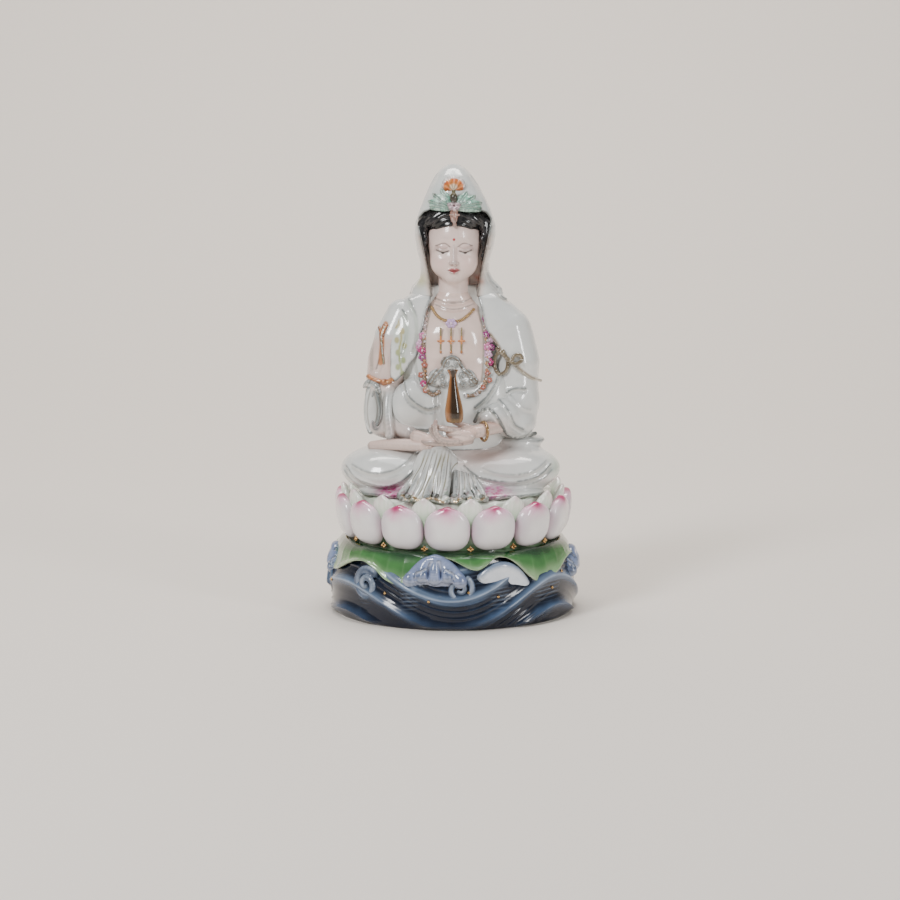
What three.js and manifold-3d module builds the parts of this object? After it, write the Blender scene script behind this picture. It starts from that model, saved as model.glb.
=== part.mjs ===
// A painted porcelain seated figure on a lotus throne, over a curled lotus leaf and a drum of sea waves.
// Millimetres, +Z up, the figure faces -Y, origin at the centre of the foot ring.
// Heights below are measured from the level the waves rise from, which lies FOOT above the foot ring.
// Every piece is formed by itself and luted to its neighbours, so each keeps a narrow joint gap.
import * as THREE from "three";
import { mergeVertices } from "three/addons/utils/BufferGeometryUtils.js";
import Module from "manifold-3d";

// ---- Driving dimensions ----
const GAP = 0.35; // joint between two luted pieces
const PETALS = 15;
const PETAL_TURN = THREE.MathUtils.degToRad(-3);
const PETAL_STEP = (2 * Math.PI) / PETALS;
const BASE_RADIUS = 112;
const FOOT = -7;
const BASE_TOP = 58;
const CAVITY_RADIUS = 97;
const FLANGE_RADIUS = 82;
const FLANGE_BOTTOM = 46;
const LEAF_RADIUS = 109;
const LEAF_THICKNESS = 2.6;
const SEAT_FOOT_RADIUS = 86;
const SEAT_TOP = 104;
const SEAT_WALL = 6;
const VENT_RADIUS = 4;
const LEG_WALL = 6;
const HEAD_CENTRE = [0, -7, 327];
const HEAD_RADII = [25.5, 28, 32];

// ---- Materials ----
const glaze = (color, roughness = 0.15, metalness = 0) =>
  new THREE.MeshStandardMaterial({ color, roughness, metalness });
const WHITE_GLAZE = glaze(0xe4e4e0);
const SKIN_GLAZE = glaze(0xe9d3c8, 0.25);
const PETAL_GLAZE = glaze(0xe6d9da);
const INNER_PETAL_GLAZE = glaze(0xc9dcc8);
const LEAF_GLAZE = glaze(0x5f9a58);
const WAVE_GLAZE = glaze(0x42587c);
const FOAM_GLAZE = glaze(0x9fb2d4);
const HAIR_GLAZE = glaze(0x141416);
const GOLD = glaze(0xa9834a, 0.3, 0.9);
const JADE_GLAZE = glaze(0x8fc9b0);
const ORANGE_GLAZE = glaze(0xdc6f2c);
const GARLAND_GLAZE = glaze(0xc08aa8);
const CLASP_GLAZE = glaze(0xd6d8d4);

// ---- Solids: closed geometries joined and cut ----
const wasm = await Module();
wasm.setup();

function solid(geometry) {
  const bare = geometry.index ? geometry.toNonIndexed() : geometry.clone();
  for (const name of ["normal", "uv"]) bare.deleteAttribute(name);
  const merged = mergeVertices(bare, 1e-4);
  return new wasm.Manifold(
    new wasm.Mesh({
      numProp: 3,
      vertProperties: merged.attributes.position.array,
      triVerts: new Uint32Array(merged.index.array),
    }),
  );
}

// Coplanar and sliver faces left by the cuts are merged within FINISH mm.
const FINISH = 0.06;
function geometryOf(manifold) {
  const mesh = manifold.simplify(FINISH).getMesh();
  const geometry = new THREE.BufferGeometry();
  geometry.setAttribute("position", new THREE.BufferAttribute(mesh.vertProperties, 3));
  geometry.setIndex(new THREE.BufferAttribute(mesh.triVerts, 1));
  geometry.computeVertexNormals();
  return geometry;
}

const join = (solids) => solids.reduce((whole, piece) => whole.add(piece));
const cut = (whole, ...tools) => tools.reduce((left, tool) => left.subtract(tool), whole);

// The biggest body of a cut piece, without the slivers beside it.
function largest(manifold) {
  const bodies = manifold.decompose();
  return bodies.reduce((best, body) => (body.volume() > best.volume() ? body : best));
}

// Rotates a geometry made about +Y so that it stands about +Z.
const upright = (geometry) => geometry.rotateX(Math.PI / 2);

// An ellipsoid at a centre, leaned about X and then turned about Z. full below 1 makes it boxier.
function ellipsoid(centre, radii, { grow = 0, lean = 0, turn = 0, across = 16, up = 9, full = 1 } = {}) {
  const geometry = upright(new THREE.SphereGeometry(1, across, up));
  const at = geometry.attributes.position;
  const fuller = (value) => Math.sign(value) * Math.abs(value) ** full;
  for (let i = 0; i < at.count; i++) at.setXYZ(i, fuller(at.getX(i)), fuller(at.getY(i)), fuller(at.getZ(i)));
  geometry.scale(...radii.map((radius) => radius + grow));
  geometry.rotateX(lean).rotateZ(turn).translate(...centre);
  return solid(geometry);
}

// A solid of revolution about Z. The profile holds [radius, height] pairs, outer side going up.
function revolved(profile, segments) {
  const points = profile.map(([radius, height]) => new THREE.Vector2(radius, height));
  return upright(new THREE.LatheGeometry(points, segments));
}

// A box between two corners.
function block(low, high) {
  const size = high.map((value, axis) => value - low[axis]);
  const middle = high.map((value, axis) => (value + low[axis]) / 2);
  return solid(new THREE.BoxGeometry(...size).translate(...middle));
}

// A column of ellipses: each station is [z, centre y, radius along X, radius along Y].
// hem, if given, is the height of its lower edge at a share of the way from the sides to the front.
function column(stations, { grow = 0, sides = 24, hem } = {}) {
  const rows = stations.length - 1;
  const geometry = new THREE.CylinderGeometry(1, 1, 1, sides, rows);
  const at = geometry.attributes.position;
  for (let i = 0; i < at.count; i++) {
    const row = Math.round((at.getY(i) + 0.5) * rows);
    const [z, y, rx, ry] = stations[row];
    const end = row === 0 ? -grow : row === rows ? grow : 0;
    const [low, top] = [stations[0][0], stations[rows][0]];
    const drop = hem ? (top - hem(at.getZ(i))) / (top - low) : 1;
    const height = top - (top - z) * drop + end;
    at.setXYZ(i, at.getX(i) * (rx + grow), y - at.getZ(i) * (ry + grow), height);
  }
  return solid(geometry);
}

// A tapered limb through points of [x, y, z, radius], with round ends. flat squeezes it along facing.
const FRONT = new THREE.Vector3(0, -1, 0);
const UP = new THREE.Vector3(0, 0, 1);
const SIDE = new THREE.Vector3(1, 0, 0);
function limb(points, { grow = 0, flat = 1, steps = 8, sides = 8, facing = FRONT } = {}) {
  const curve = new THREE.CatmullRomCurve3(points.map(([x, y, z]) => new THREE.Vector3(x, y, z)));
  const last = points.length - 1;
  const widths = points.map((point) => point[3]);
  const geometry = new THREE.CylinderGeometry(1, 1, 1, sides, steps);
  const at = geometry.attributes.position;
  for (let i = 0; i < at.count; i++) {
    const along = at.getY(i) + 0.5;
    const t = (1 - Math.cos(Math.PI * along)) / 2;
    const before = Math.min(Math.floor(t * last), last - 1);
    const width = THREE.MathUtils.lerp(widths[before], widths[before + 1], t * last - before);
    const toEnd = Math.min(t, 1 - t) * curve.getLength();
    const dome = toEnd < width ? Math.sqrt(1 - (1 - toEnd / width) ** 2) : 1;
    const radius = (width + grow) * Math.max(dome, 0.35);
    const tangent = curve.getTangent(t);
    const side = new THREE.Vector3().crossVectors(tangent, facing).normalize();
    const out = new THREE.Vector3().crossVectors(side, tangent);
    const centre = curve.getPoint(t).addScaledVector(tangent, grow * (2 * t - 1));
    centre.addScaledVector(side, at.getX(i) * radius);
    centre.addScaledVector(out, -at.getZ(i) * (radius * flat));
    at.setXYZ(i, centre.x, centre.y, centre.z);
  }
  const made = solid(geometry);
  return made.volume() < 0 ? solid(flipped(geometry)) : made;
}

function flipped(geometry) {
  const index = geometry.index.array;
  for (let i = 0; i < index.length; i += 3) [index[i], index[i + 1]] = [index[i + 1], index[i]];
  return geometry;
}

// ---- Wave base and lotus leaf ----
// Height of the leaf's edge round the throne: [degrees from the front towards +X, height].
const LEAF_EDGE = [
  [-80, 31], [-47, 48], [-27, 31], [-4, 57], [11, 46], [22, 57], [47, 29], [74, 47],
  [104, 31], [136, 52], [165, 33], [192, 53], [222, 31], [252, 49],
];
function leafEdge(angle) {
  const degrees = THREE.MathUtils.euclideanModulo(THREE.MathUtils.radToDeg(angle) + 80, 360) - 80;
  const next = LEAF_EDGE.findIndex(([at]) => at > degrees);
  const [a, low] = LEAF_EDGE[(next < 0 ? LEAF_EDGE.length : next) - 1];
  const [b, high] = next < 0 ? [280, LEAF_EDGE[0][1]] : LEAF_EDGE[next];
  return low + (high - low) * (1 - Math.cos((Math.PI * (degrees - a)) / (b - a))) / 2;
}

// The leaf as a ring: flat beside the seat, then draped over the waves to its wavy edge.
// thick is how far its upper side stands off its underside, and grow opens it on every side.
function leaf({ thick = LEAF_THICKNESS, grow = 0, inner = SEAT_FOOT_RADIUS + 0.8 } = {}) {
  const under = [0, 0.3, 0.55, 0.8, 1];
  const profile = [...under, ...under.slice().reverse(), 0];
  const points = profile.map((share, i) => new THREE.Vector2(10 + share, i));
  const geometry = upright(new THREE.LatheGeometry(points, 42));
  const at = geometry.attributes.position;
  for (let i = 0; i < at.count; i++) {
    const row = Math.round(at.getZ(i)) % (profile.length - 1);
    const share = profile[row];
    const upper = row >= under.length;
    const angle = Math.atan2(at.getX(i), -at.getY(i));
    const drape = Math.max(0, (share - 0.3) / 0.7);
    const edge = leafEdge(angle);
    const rim = LEAF_RADIUS - LEAF_THICKNESS;
    let radius = share < 0.3 ? inner + (98 - inner) * (share / 0.3) : 98 + (rim - 98) * drape ** 0.6;
    let z = BASE_TOP + GAP + (edge - BASE_TOP) * drape ** 1.7;
    const off = upper ? thick + grow : -grow;
    radius += off * Math.min(1, drape * 2);
    z += off * (1 - Math.min(1, drape * 2) * 0.6) - (share === 1 ? grow : 0);
    if (share === 0) radius -= grow;
    at.setXYZ(i, Math.sin(angle) * radius, -Math.cos(angle) * radius, z);
  }
  const made = solid(geometry);
  return made.volume() < 0 ? solid(flipped(mergeVertices(geometry))) : made;
}

// The drum's wall, its outside rolled into waves that climb to the side as they go round.
const WAVES = 8;
const WAVE_DEPTH = 2.2;
const waveDrum = (() => {
  const geometry = revolved(
    [
      [101, FOOT], [BASE_RADIUS, FOOT], [BASE_RADIUS, 9], [BASE_RADIUS - 1, 20], [BASE_RADIUS - 2, 31], [106, 43],
      [104, BASE_TOP], [FLANGE_RADIUS, BASE_TOP], [FLANGE_RADIUS, FLANGE_BOTTOM],
      [CAVITY_RADIUS, FLANGE_BOTTOM - 8], [101, FOOT],
    ],
    48,
  );
  const at = geometry.attributes.position;
  for (let i = 0; i < at.count; i++) {
    const radius = Math.hypot(at.getX(i), at.getY(i));
    const z = at.getZ(i);
    if (radius < 105 || z > 50) continue;
    const angle = Math.round(Math.atan2(at.getX(i), -at.getY(i)) * 1e6) / 1e6;
    const swell = WAVE_DEPTH * Math.sin(WAVES * angle + z * 0.16) * (z < 1 ? 0.3 : 1);
    at.setXY(i, at.getX(i) * (1 + swell / radius), at.getY(i) * (1 + swell / radius));
  }
  return solid(geometry);
})();
const waveBase = largest(cut(waveDrum, leaf({ thick: 24, grow: GAP })));
const leafSkirt = leaf();

// Foam crests that curl up in front of the leaf: from and to in degrees, crown height and thickness.
const CRESTS = [
  { name: "front_centre", from: -23, to: 7, low: 38, crown: 53, thick: 7.5 },
  { name: "front_right", from: 13, to: 39, low: 33, crown: 47, thick: 6.5 },
  { name: "front_left", from: -57, to: -32, low: 24, crown: 37, thick: 7.5 },
  { name: "left", from: -104, to: -82, low: 29, crown: 47, thick: 7 },
  { name: "right", from: 74, to: 98, low: 29, crown: 47, thick: 7 },
];
function crest({ from, to, low, crown, thick }) {
  const stations = [0, 0.25, 0.5, 0.75, 1].map((share) => {
    const angle = THREE.MathUtils.degToRad(from + (to - from) * share);
    const rise = Math.sin(Math.PI * share);
    const radius = 107 + 2 * rise;
    const z = low + (crown - low) * rise;
    return [Math.sin(angle) * radius, -Math.cos(angle) * radius, z, thick * (0.55 + 0.45 * rise)];
  });
  return limb(stations, { steps: 8, sides: 7, facing: UP });
}

// ---- Lotus throne ----
const seatProfile = (grow) => [
  [SEAT_FOOT_RADIUS + grow, BASE_TOP + GAP - grow], [SEAT_FOOT_RADIUS + 3 + grow, 72],
  [SEAT_FOOT_RADIUS + 5 + grow, 86], [SEAT_FOOT_RADIUS + 5 + grow, SEAT_TOP + grow],
];
const seatOuter = (grow) =>
  solid(revolved([[0, BASE_TOP + GAP - grow], ...seatProfile(grow), [0, SEAT_TOP + grow]], PETALS * 2));
const seatInner = solid(
  revolved(
    [
      [0, BASE_TOP - 5], [SEAT_FOOT_RADIUS - SEAT_WALL, BASE_TOP - 5], [SEAT_FOOT_RADIUS - SEAT_WALL + 4, 86],
      [SEAT_FOOT_RADIUS - SEAT_WALL + 2, SEAT_TOP - SEAT_WALL], [0, SEAT_TOP - SEAT_WALL],
    ],
    PETALS,
  ),
);
const ventHole = (x, y, low, high) =>
  solid(upright(new THREE.CylinderGeometry(VENT_RADIUS, VENT_RADIUS, high - low, 8)).translate(x, y, (low + high) / 2));
const lotusSeat = cut(seatOuter(0), seatInner, ventHole(0, 0, SEAT_TOP - 12, SEAT_TOP + 5));

const aimed = (radius, angle, z) => [Math.sin(angle) * radius, -Math.cos(angle) * radius, z];
const outerPetal = (angle, grow = 0) =>
  ellipsoid(aimed(98.5, angle, 83.5), [20.1, 9, 22], { grow, lean: 0.2, turn: angle, across: 12, up: 6, full: 0.85 });
const innerPetal = (angle, grow = 0) =>
  ellipsoid(aimed(96, angle, 94), [12.2, 5.5, 18], { grow, lean: 0.2, turn: angle, across: 6, up: 4 });
const seatRoom = seatOuter(GAP);

// ---- Legs, lap and foot ----
const LEG_LOBES = [
  { centre: [-66, -21, 128], radii: [38, 33, 24] },
  { centre: [62, -21, 128], radii: [37, 33, 24] },
  { centre: [0, -32, 122], radii: [58, 36, 25] },
  { centre: [0, 14, 124], radii: [76, 52, 27] },
];
const lobes = (grow, shape = { across: 12, up: 8 }) =>
  join(LEG_LOBES.map(({ centre, radii }) => ellipsoid(centre, radii, { grow, ...shape })));
const belowSeat = block([-150, -150, 60], [150, 150, SEAT_TOP + GAP]);
const legs = cut(
  lobes(0),
  belowSeat,
  cut(lobes(-LEG_WALL, { across: 8, up: 5 }), block([-150, -150, 60], [150, 150, SEAT_TOP + LEG_WALL])),
  ventHole(0, 0, SEAT_TOP - 5, 115),
);
const legRoom = lobes(GAP);
const foot = () =>
  join([
    limb([[-16, -44, 151, 6.5], [-34, -47, 152, 7.5], [-56, -46, 152, 7], [-73, -42, 149, 5.5]], { steps: 5, sides: 7 }),
  ]);
const lapDrape = () =>
  limb([[-8, -52, 154, 8], [-10, -66, 143, 14], [-13, -74, 126, 23], [-13, -80, 108, 32], [-13, -82, 102, 33]], {
    flat: 0.26, steps: 7, sides: 14,
  });

// ---- Torso, sleeves and mantle ----
const TORSO = [
  [147, 8, 46, 32], [162, 8, 50, 37], [186, 6, 48, 36], [212, 3, 48, 35], [236, 2, 50, 33],
  [254, 3, 50, 29], [268, 4, 42, 24], [279, 4, 28, 19], [287, 3, 19, 16.5],
];
const NECK_TOP = 287;
// The y of the chest's front at a place, dy in front of it.
function chestY(x, z, dy = 0) {
  const next = Math.max(1, TORSO.findIndex(([height]) => height >= z));
  const [low, high] = [TORSO[next - 1], TORSO[next]];
  const share = (z - low[0]) / (high[0] - low[0]);
  const [, y, rx, ry] = low.map((value, i) => value + (high[i] - value) * share);
  return y - ry * Math.sqrt(Math.max(0.05, 1 - (x / rx) ** 2)) - dy;
}
const torsoBody = (grow = 0) => column(TORSO, { grow });
const torsoCavity = column(
  TORSO.slice(1, -1).map(([z, y, rx, ry]) => [z, y, rx - 7, ry - 7]),
  { sides: 10 },
);
const torso = cut(torsoBody(), legRoom, torsoCavity, ventHole(0, 8, 140, 170));
const torsoRoom = torsoBody(GAP);

const ARMS = {
  left: [[44, 5, 252, 12], [57, 2, 234, 15], [62, -2, 206, 16], [60, -16, 182, 15], [50, -38, 170, 13], [36, -54, 167, 9]],
  right: [
    [-44, 5, 252, 12], [-57, 2, 234, 15], [-63, -2, 206, 16], [-61, -16, 182, 15], [-46, -36, 169, 12], [-30, -50, 165, 8],
  ],
};
const arm = (side, grow = 0) => limb(ARMS[side], { grow, steps: 9, sides: 10, facing: SIDE });
const CUFFS = {
  left: { centre: [59, -22, 163], radii: [18, 30, 15] },
  right: { centre: [-66, -16, 170], radii: [16, 26, 22] },
};
const sleeveBody = (side, grow = 0) =>
  join([arm(side, grow), ellipsoid(CUFFS[side].centre, CUFFS[side].radii, { grow, across: 12, up: 6 })]);

const MANTLE = [
  [203, 4, 80, 39], [220, 4, 77, 38], [240, 4, 72, 37], [254, 5, 65, 34], [266, 6, 53, 29],
  [278, 6, 37, 24], [290, 5, 26, 21],
];
// The mantle's lower edge, high at the chest and low at the back.
const mantleHem = (front) => 203 + 34 * front;
const mantleBody = (grow = 0) => column(MANTLE, { grow, hem: mantleHem, sides: 18 });

// ---- Head, hair and veil ----
const headBody = (grow = 0) =>
  join([
    ellipsoid(HEAD_CENTRE, HEAD_RADII, { grow, across: 14, up: 9 }),
    column([[NECK_TOP + GAP, 0, 15.5, 14.5], [305, -1, 14, 14], [320, -2, 14, 14]], { grow, sides: 10 }),
  ]);
const hairBody = (grow = 0) =>
  join([
    ellipsoid([0, -2, 342], [36, 31, 24], { grow, across: 14, up: 8 }),
    ellipsoid([0, 4, 330], [32, 27, 34], { grow, across: 12, up: 7 }),
    ellipsoid([0, 4, 370], [17, 17, 21], { grow, across: 10, up: 7 }),
  ]);
const faceOpening = ellipsoid([0, -38, 318], [25.5, 40, 30], { across: 12, up: 8 });
const VEIL = [
  [282, 10, 44, 28], [296, 10, 35, 27], [318, 7, 35, 31], [343, 4, 39, 35], [362, 4, 34, 33],
  [378, 5, 28, 28], [391, 6, 19, 20], [402, 7, 9, 9],
];
const veilShape = (grow = 0) => column(VEIL, { grow, sides: 18 });
const veilOpening = join([
  ellipsoid([0, -36, 325], [30, 41, 50], { across: 10, up: 6 }),
  block([-24, -60, 270], [24, -2, 312]),
]);

// ---- Hands, vase and ornaments ----
const FINGER_STEPS = { steps: 4, sides: 6 };
const hand = (palm, fingers, grow = 0) =>
  join([ellipsoid(palm.centre, palm.radii, { grow, across: 10, up: 6 }), ...fingers.map((points) => limb(points, { grow, ...FINGER_STEPS }))]);
const leftHand = (grow = 0) =>
  hand(
    { centre: [9, -66, 167.4], radii: [19, 10, 6.8] },
    [
      [[8, -69, 169, 3.2], [-8, -70, 170, 2.9], [-13, -69, 172, 2.4]],
      [[8, -64, 168, 3.2], [-12, -65, 168, 2.9], [-18, -64, 171, 2.4]],
      [[8, -59, 167, 3.2], [-10, -60, 167, 2.9], [-17, -60, 172, 2.4]],
      [[12, -70, 166, 3.1], [-4, -71, 162.5, 2.8], [-16, -70, 166, 2.6], [-19, -69, 176, 2.1]],
      [[33, -56, 167, 8], [22, -61, 167, 6.5]],
    ],
    grow,
  );
const rightHand = (grow = 0) =>
  hand({ centre: [-14, -58, 156.5], radii: [15, 9, 4.5] }, [[[-4, -58, 156.5, 4], [14, -60, 156, 3.2]]], grow);

const VASE_CENTRE = [-1, -70];
const VASE_FOOT = 174.5;
const vaseProfile = [
  [0, 0], [7, 0], [8, 2.5], [8.4, 8], [7.6, 14], [5.6, 24], [3.9, 34], [3.2, 39], [3.6, 42], [4.9, 45.5],
  [4.4, 46.4], [3, 46], [2.4, 44], [0, 43.4],
];

const clasp = (grow = 0) => {
  const shape = new THREE.Shape();
  shape.moveTo(-23, -12);
  shape.bezierCurveTo(-25, -2, -14, 0, -11, 6);
  shape.bezierCurveTo(-8, 15, 8, 15, 11, 6);
  shape.bezierCurveTo(14, 0, 25, -2, 23, -12);
  shape.bezierCurveTo(18, -18, 8, -14, 6, -6);
  shape.bezierCurveTo(3, -2, -3, -2, -6, -6);
  shape.bezierCurveTo(-8, -14, -18, -18, -23, -12);
  const plate = new THREE.ExtrudeGeometry(shape, { depth: 18, bevelEnabled: false, curveSegments: 4 });
  plate.rotateX(Math.PI / 2).translate(0, 9, 2);
  plate.scale(1 + grow / 20, 1 + grow / 9, 1 + grow / 10);
  return solid(plate.translate(-1, -32, 214));
};

const CHEST_LIFT = 2.2; // how far a chain's centre lies in front of the chest
const onChest = (points) => points.map(([x, z, radius]) => [x, chestY(x, z, CHEST_LIFT), z, radius]);
const necklace = (grow = 0) =>
  join([
    limb(onChest([[-19, 273, 1.7], [-12, 264, 1.9], [0, 260, 2.6], [12, 264, 1.9], [19, 273, 1.7]]), { grow, steps: 8, sides: 6 }),
    ...[-11, 0, 11].map((x) =>
      limb([[x, chestY(x, 262, 1.8), 262, 1.4], [x, chestY(x, 250, 1.8), 250, 1.4], [x, chestY(x, 238, 1.8), 238, 1.3]], { grow, steps: 4, sides: 5 }),
    ),
  ]);
const garland = (side, grow = 0) =>
  limb(onChest([[side * 21, 280, 2.6], [side * 27, 262, 3.2], [side * 31, 240, 4], [side * 30, 216, 3.2], [side * 24, 200, 2.4]]), {
    grow, steps: 9, sides: 7,
  });

// A closed band about a limb: its axis leans and turns from +Z.
const band = (centre, radius, thick, { lean = 0, turn = 0 } = {}) =>
  solid(new THREE.TorusGeometry(radius, thick, 5, 11).rotateX(lean).rotateZ(turn).translate(...centre));

const CROWN_LEAVES = [-52, -26, 0, 26, 52];
const crownLeaves = () =>
  join([
    ...CROWN_LEAVES.map((degrees) => {
      const angle = THREE.MathUtils.degToRad(degrees);
      const [x, y] = aimed(31, angle, 0);
      return ellipsoid([x, y + 1, 368], [8.5, 3.5, 11], { turn: angle, across: 6, up: 4 });
    }),
  ]);
const crownHalo = () =>
  join([
    solid(new THREE.CylinderGeometry(10, 8.5, 9, 12).rotateX(-0.3).translate(0, -22, 383)),
    ellipsoid([0, -33, 369], [5, 5, 10], { across: 8, up: 6 }),
    limb([[0, -35, 368, 2], [0, -36.5, 358, 1.6], [0, -37, 350, 2]], { steps: 4, sides: 6 }),
    block([-3.5, -32, 373], [3.5, -20, 380]),
  ]);
const shoulderBow = () =>
  join([
    band([45, -33, 219], 7.5, 2, { lean: 1.4, turn: 0.5 }),
    band([58, -27, 222], 5, 1.8, { lean: 1.4, turn: 0.8 }),
    ellipsoid([52, -31, 220], [4, 3.5, 3.5], { across: 8, up: 5 }),
  ]);
// ---- Cutting the pieces to each other ----
const baseRoom = cut(waveDrum, leaf({ thick: 24, grow: 0 }));
const leafRoom = leaf({ grow: GAP * 2 });
const handRoom = leftHand(GAP);
const vase = solid(revolved(vaseProfile, 12)).translate([...VASE_CENTRE, VASE_FOOT]);
const vaseRoom = solid(revolved([[0, -GAP], [9, -GAP], [9, 16], [4.5, 36], [5.5, 48], [0, 48]], 10)).translate([...VASE_CENTRE, VASE_FOOT]);
const headRoom = headBody(GAP);
const head = headBody();
const hair = largest(cut(hairBody(), headRoom, faceOpening, block([-60, -60, 250], [60, 60, 312])));
const hairRoom = hairBody(GAP);
const rightHandPiece = largest(cut(rightHand(), legRoom, handRoom));
const rightHandRoom = rightHand(GAP);
const sleeves = {
  left: largest(cut(sleeveBody("left"), torsoRoom, legRoom, handRoom)),
  right: largest(cut(sleeveBody("right"), torsoRoom, legRoom, rightHandRoom, handRoom)),
};
const sleeveRoom = join([sleeveBody("left", GAP), sleeveBody("right", GAP)]);
const mantleOpening = join([
  block([-20, -80, 180], [20, -8, 300]),
  ellipsoid([0, -45, 213], [38, 42, 78], { across: 8, up: 6 }),
]);
const mantle = largest(cut(mantleBody(), torsoRoom, sleeveRoom, mantleOpening, headRoom, garland(1, GAP), garland(-1, GAP)));
const mantleRoom = mantleBody(GAP);
const veilShell = largest(cut(veilShape(), hairRoom, headRoom, torsoRoom, mantleRoom, veilOpening));
const footPiece = largest(cut(foot(), legRoom, torsoRoom, sleeveRoom, rightHandRoom));
const drapePiece = largest(cut(lapDrape(), legRoom, seatRoom, rightHandRoom, belowSeat));
const claspPiece = largest(cut(clasp(), torsoRoom, vaseRoom, sleeveRoom, handRoom));
const claspRoom = clasp(GAP);
const neckRoom = join([torsoRoom, headRoom]);
const necklacePiece = largest(cut(necklace(), neckRoom, claspRoom));
const necklaceRoom = necklace(GAP);
const garlandPiece = (side) => largest(cut(garland(side), neckRoom, sleeveRoom, claspRoom, necklaceRoom));

const veilRoom = veilShape(GAP);
const haloPiece = largest(cut(crownHalo(), headRoom, cut(veilRoom, veilOpening), hairRoom));
const leavesPiece = largest(cut(crownLeaves(), headRoom, hairRoom, cut(veilRoom, veilOpening), crownHalo()));
const bowPiece = largest(cut(shoulderBow(), mantleRoom, sleeveRoom, torsoRoom));
const braceletPiece = largest(cut(band([30, -57.5, 167], 9.5, 1.6, { lean: Math.PI / 2, turn: -1.1 }), handRoom, sleeveRoom, legRoom));
const armletPiece = largest(cut(band([-62.5, -6, 196], 18, 2, { lean: 0.35 }), sleeveRoom, torsoRoom, cut(mantleRoom, mantleOpening)));

const group = new THREE.Group();
function add(name, manifold, material) {
  const mesh = new THREE.Mesh(geometryOf(manifold), material);
  mesh.name = name;
  group.add(mesh);
  return mesh;
}
add("wave_base", waveBase, WAVE_GLAZE);
add("lotus_leaf", leafSkirt, LEAF_GLAZE);
for (const wave of CRESTS) add(`crest_${wave.name}`, largest(cut(crest(wave), leafRoom, baseRoom)), FOAM_GLAZE);
add("lotus_seat", lotusSeat, INNER_PETAL_GLAZE);
for (let i = 0; i < PETALS; i++) {
  const label = String(i + 1).padStart(2, "0");
  const angle = PETAL_TURN + i * PETAL_STEP;
  add(`outer_petal_${label}`, cut(outerPetal(angle), seatRoom, leafRoom), PETAL_GLAZE);
  const neighbours = [outerPetal(angle, GAP), outerPetal(angle + PETAL_STEP, GAP)];
  const inner = innerPetal(angle + PETAL_STEP / 2);
  add(`inner_petal_${label}`, largest(cut(inner, seatRoom, ...neighbours, legRoom)), INNER_PETAL_GLAZE);
}
add("crossed_legs", legs, WHITE_GLAZE);
add("lap_drapery", drapePiece, WHITE_GLAZE);
add("left_foot", footPiece, SKIN_GLAZE);
add("torso", torso, WHITE_GLAZE);
add("mantle", mantle, WHITE_GLAZE);
add("left_sleeve", sleeves.left, WHITE_GLAZE);
add("right_sleeve", sleeves.right, WHITE_GLAZE);
add("left_hand", largest(cut(leftHand(), vaseRoom)), SKIN_GLAZE);
add("right_hand", rightHandPiece, SKIN_GLAZE);
add("vase", vase, GOLD);
add("clasp", claspPiece, CLASP_GLAZE);
add("necklace", necklacePiece, GOLD);
add("garland_left", garlandPiece(1), GARLAND_GLAZE);
add("garland_right", garlandPiece(-1), GARLAND_GLAZE);
add("head", head, SKIN_GLAZE);
add("hair", hair, HAIR_GLAZE);
add("veil", veilShell, WHITE_GLAZE);
add("crown_leaves", leavesPiece, JADE_GLAZE);
add("crown_halo", haloPiece, ORANGE_GLAZE);
add("shoulder_bow", bowPiece, GOLD);
add("bracelet", braceletPiece, GOLD);
add("armlet", armletPiece, ORANGE_GLAZE);

// Raised so that the foot ring stands on Z = 0.
group.position.z = -FOOT;
const figurine = new THREE.Group();
figurine.add(group);

export default figurine;
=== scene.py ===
"""Looks of the seated porcelain figure. Lengths are in millimetres here, and the meshes are in metres."""
import math

import bpy
import numpy as np
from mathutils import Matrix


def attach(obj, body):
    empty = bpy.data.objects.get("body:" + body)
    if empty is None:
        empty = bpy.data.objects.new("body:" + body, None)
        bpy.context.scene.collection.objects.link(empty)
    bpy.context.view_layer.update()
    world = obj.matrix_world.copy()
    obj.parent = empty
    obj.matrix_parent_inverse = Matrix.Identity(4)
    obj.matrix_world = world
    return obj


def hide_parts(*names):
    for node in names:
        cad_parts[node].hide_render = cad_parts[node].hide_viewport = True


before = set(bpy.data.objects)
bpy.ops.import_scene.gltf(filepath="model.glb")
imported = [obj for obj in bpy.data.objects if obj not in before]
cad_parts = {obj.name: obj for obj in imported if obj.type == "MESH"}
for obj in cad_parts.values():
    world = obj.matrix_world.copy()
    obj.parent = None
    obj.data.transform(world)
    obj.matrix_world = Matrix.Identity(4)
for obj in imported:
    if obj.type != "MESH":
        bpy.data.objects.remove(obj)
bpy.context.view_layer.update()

import openvdb
from mathutils import Vector

F = np.float32
TAU = 2 * math.pi
# Heights are measured from the level the waves rise from, and the foot ring is at FOOT.
FOOT = -7.0
# The random cells of the noise repeat after this many.
CELLS = 32


# ---- Small maths ----
def smooth(a, b, v):
    t = np.clip((v - a) / (b - a), 0, 1)
    return t * t * (3 - 2 * t)


def bump(v, centre, width):
    return np.exp(-(((v - centre) / width) ** 2))


def mix(a, b, t):
    a, b, t = np.asarray(a, F), np.asarray(b, F), np.asarray(t, F)
    if t.ndim and a.shape[-1:] == (3,) and t.shape[-1:] != (3,):
        t = t[..., None]
    return a + (b - a) * t


def plain(colour, p):
    """One colour for every point."""
    return np.broadcast_to(np.array(colour, F), p.shape)


def smin(a, b, k):
    if k <= 0:
        return np.minimum(a, b)
    h = np.maximum(k - np.abs(a - b), 0) / k
    return np.minimum(a, b) - h * h * k * F(0.25)


def smax(a, b, k):
    return -smin(-a, -b, k)


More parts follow.
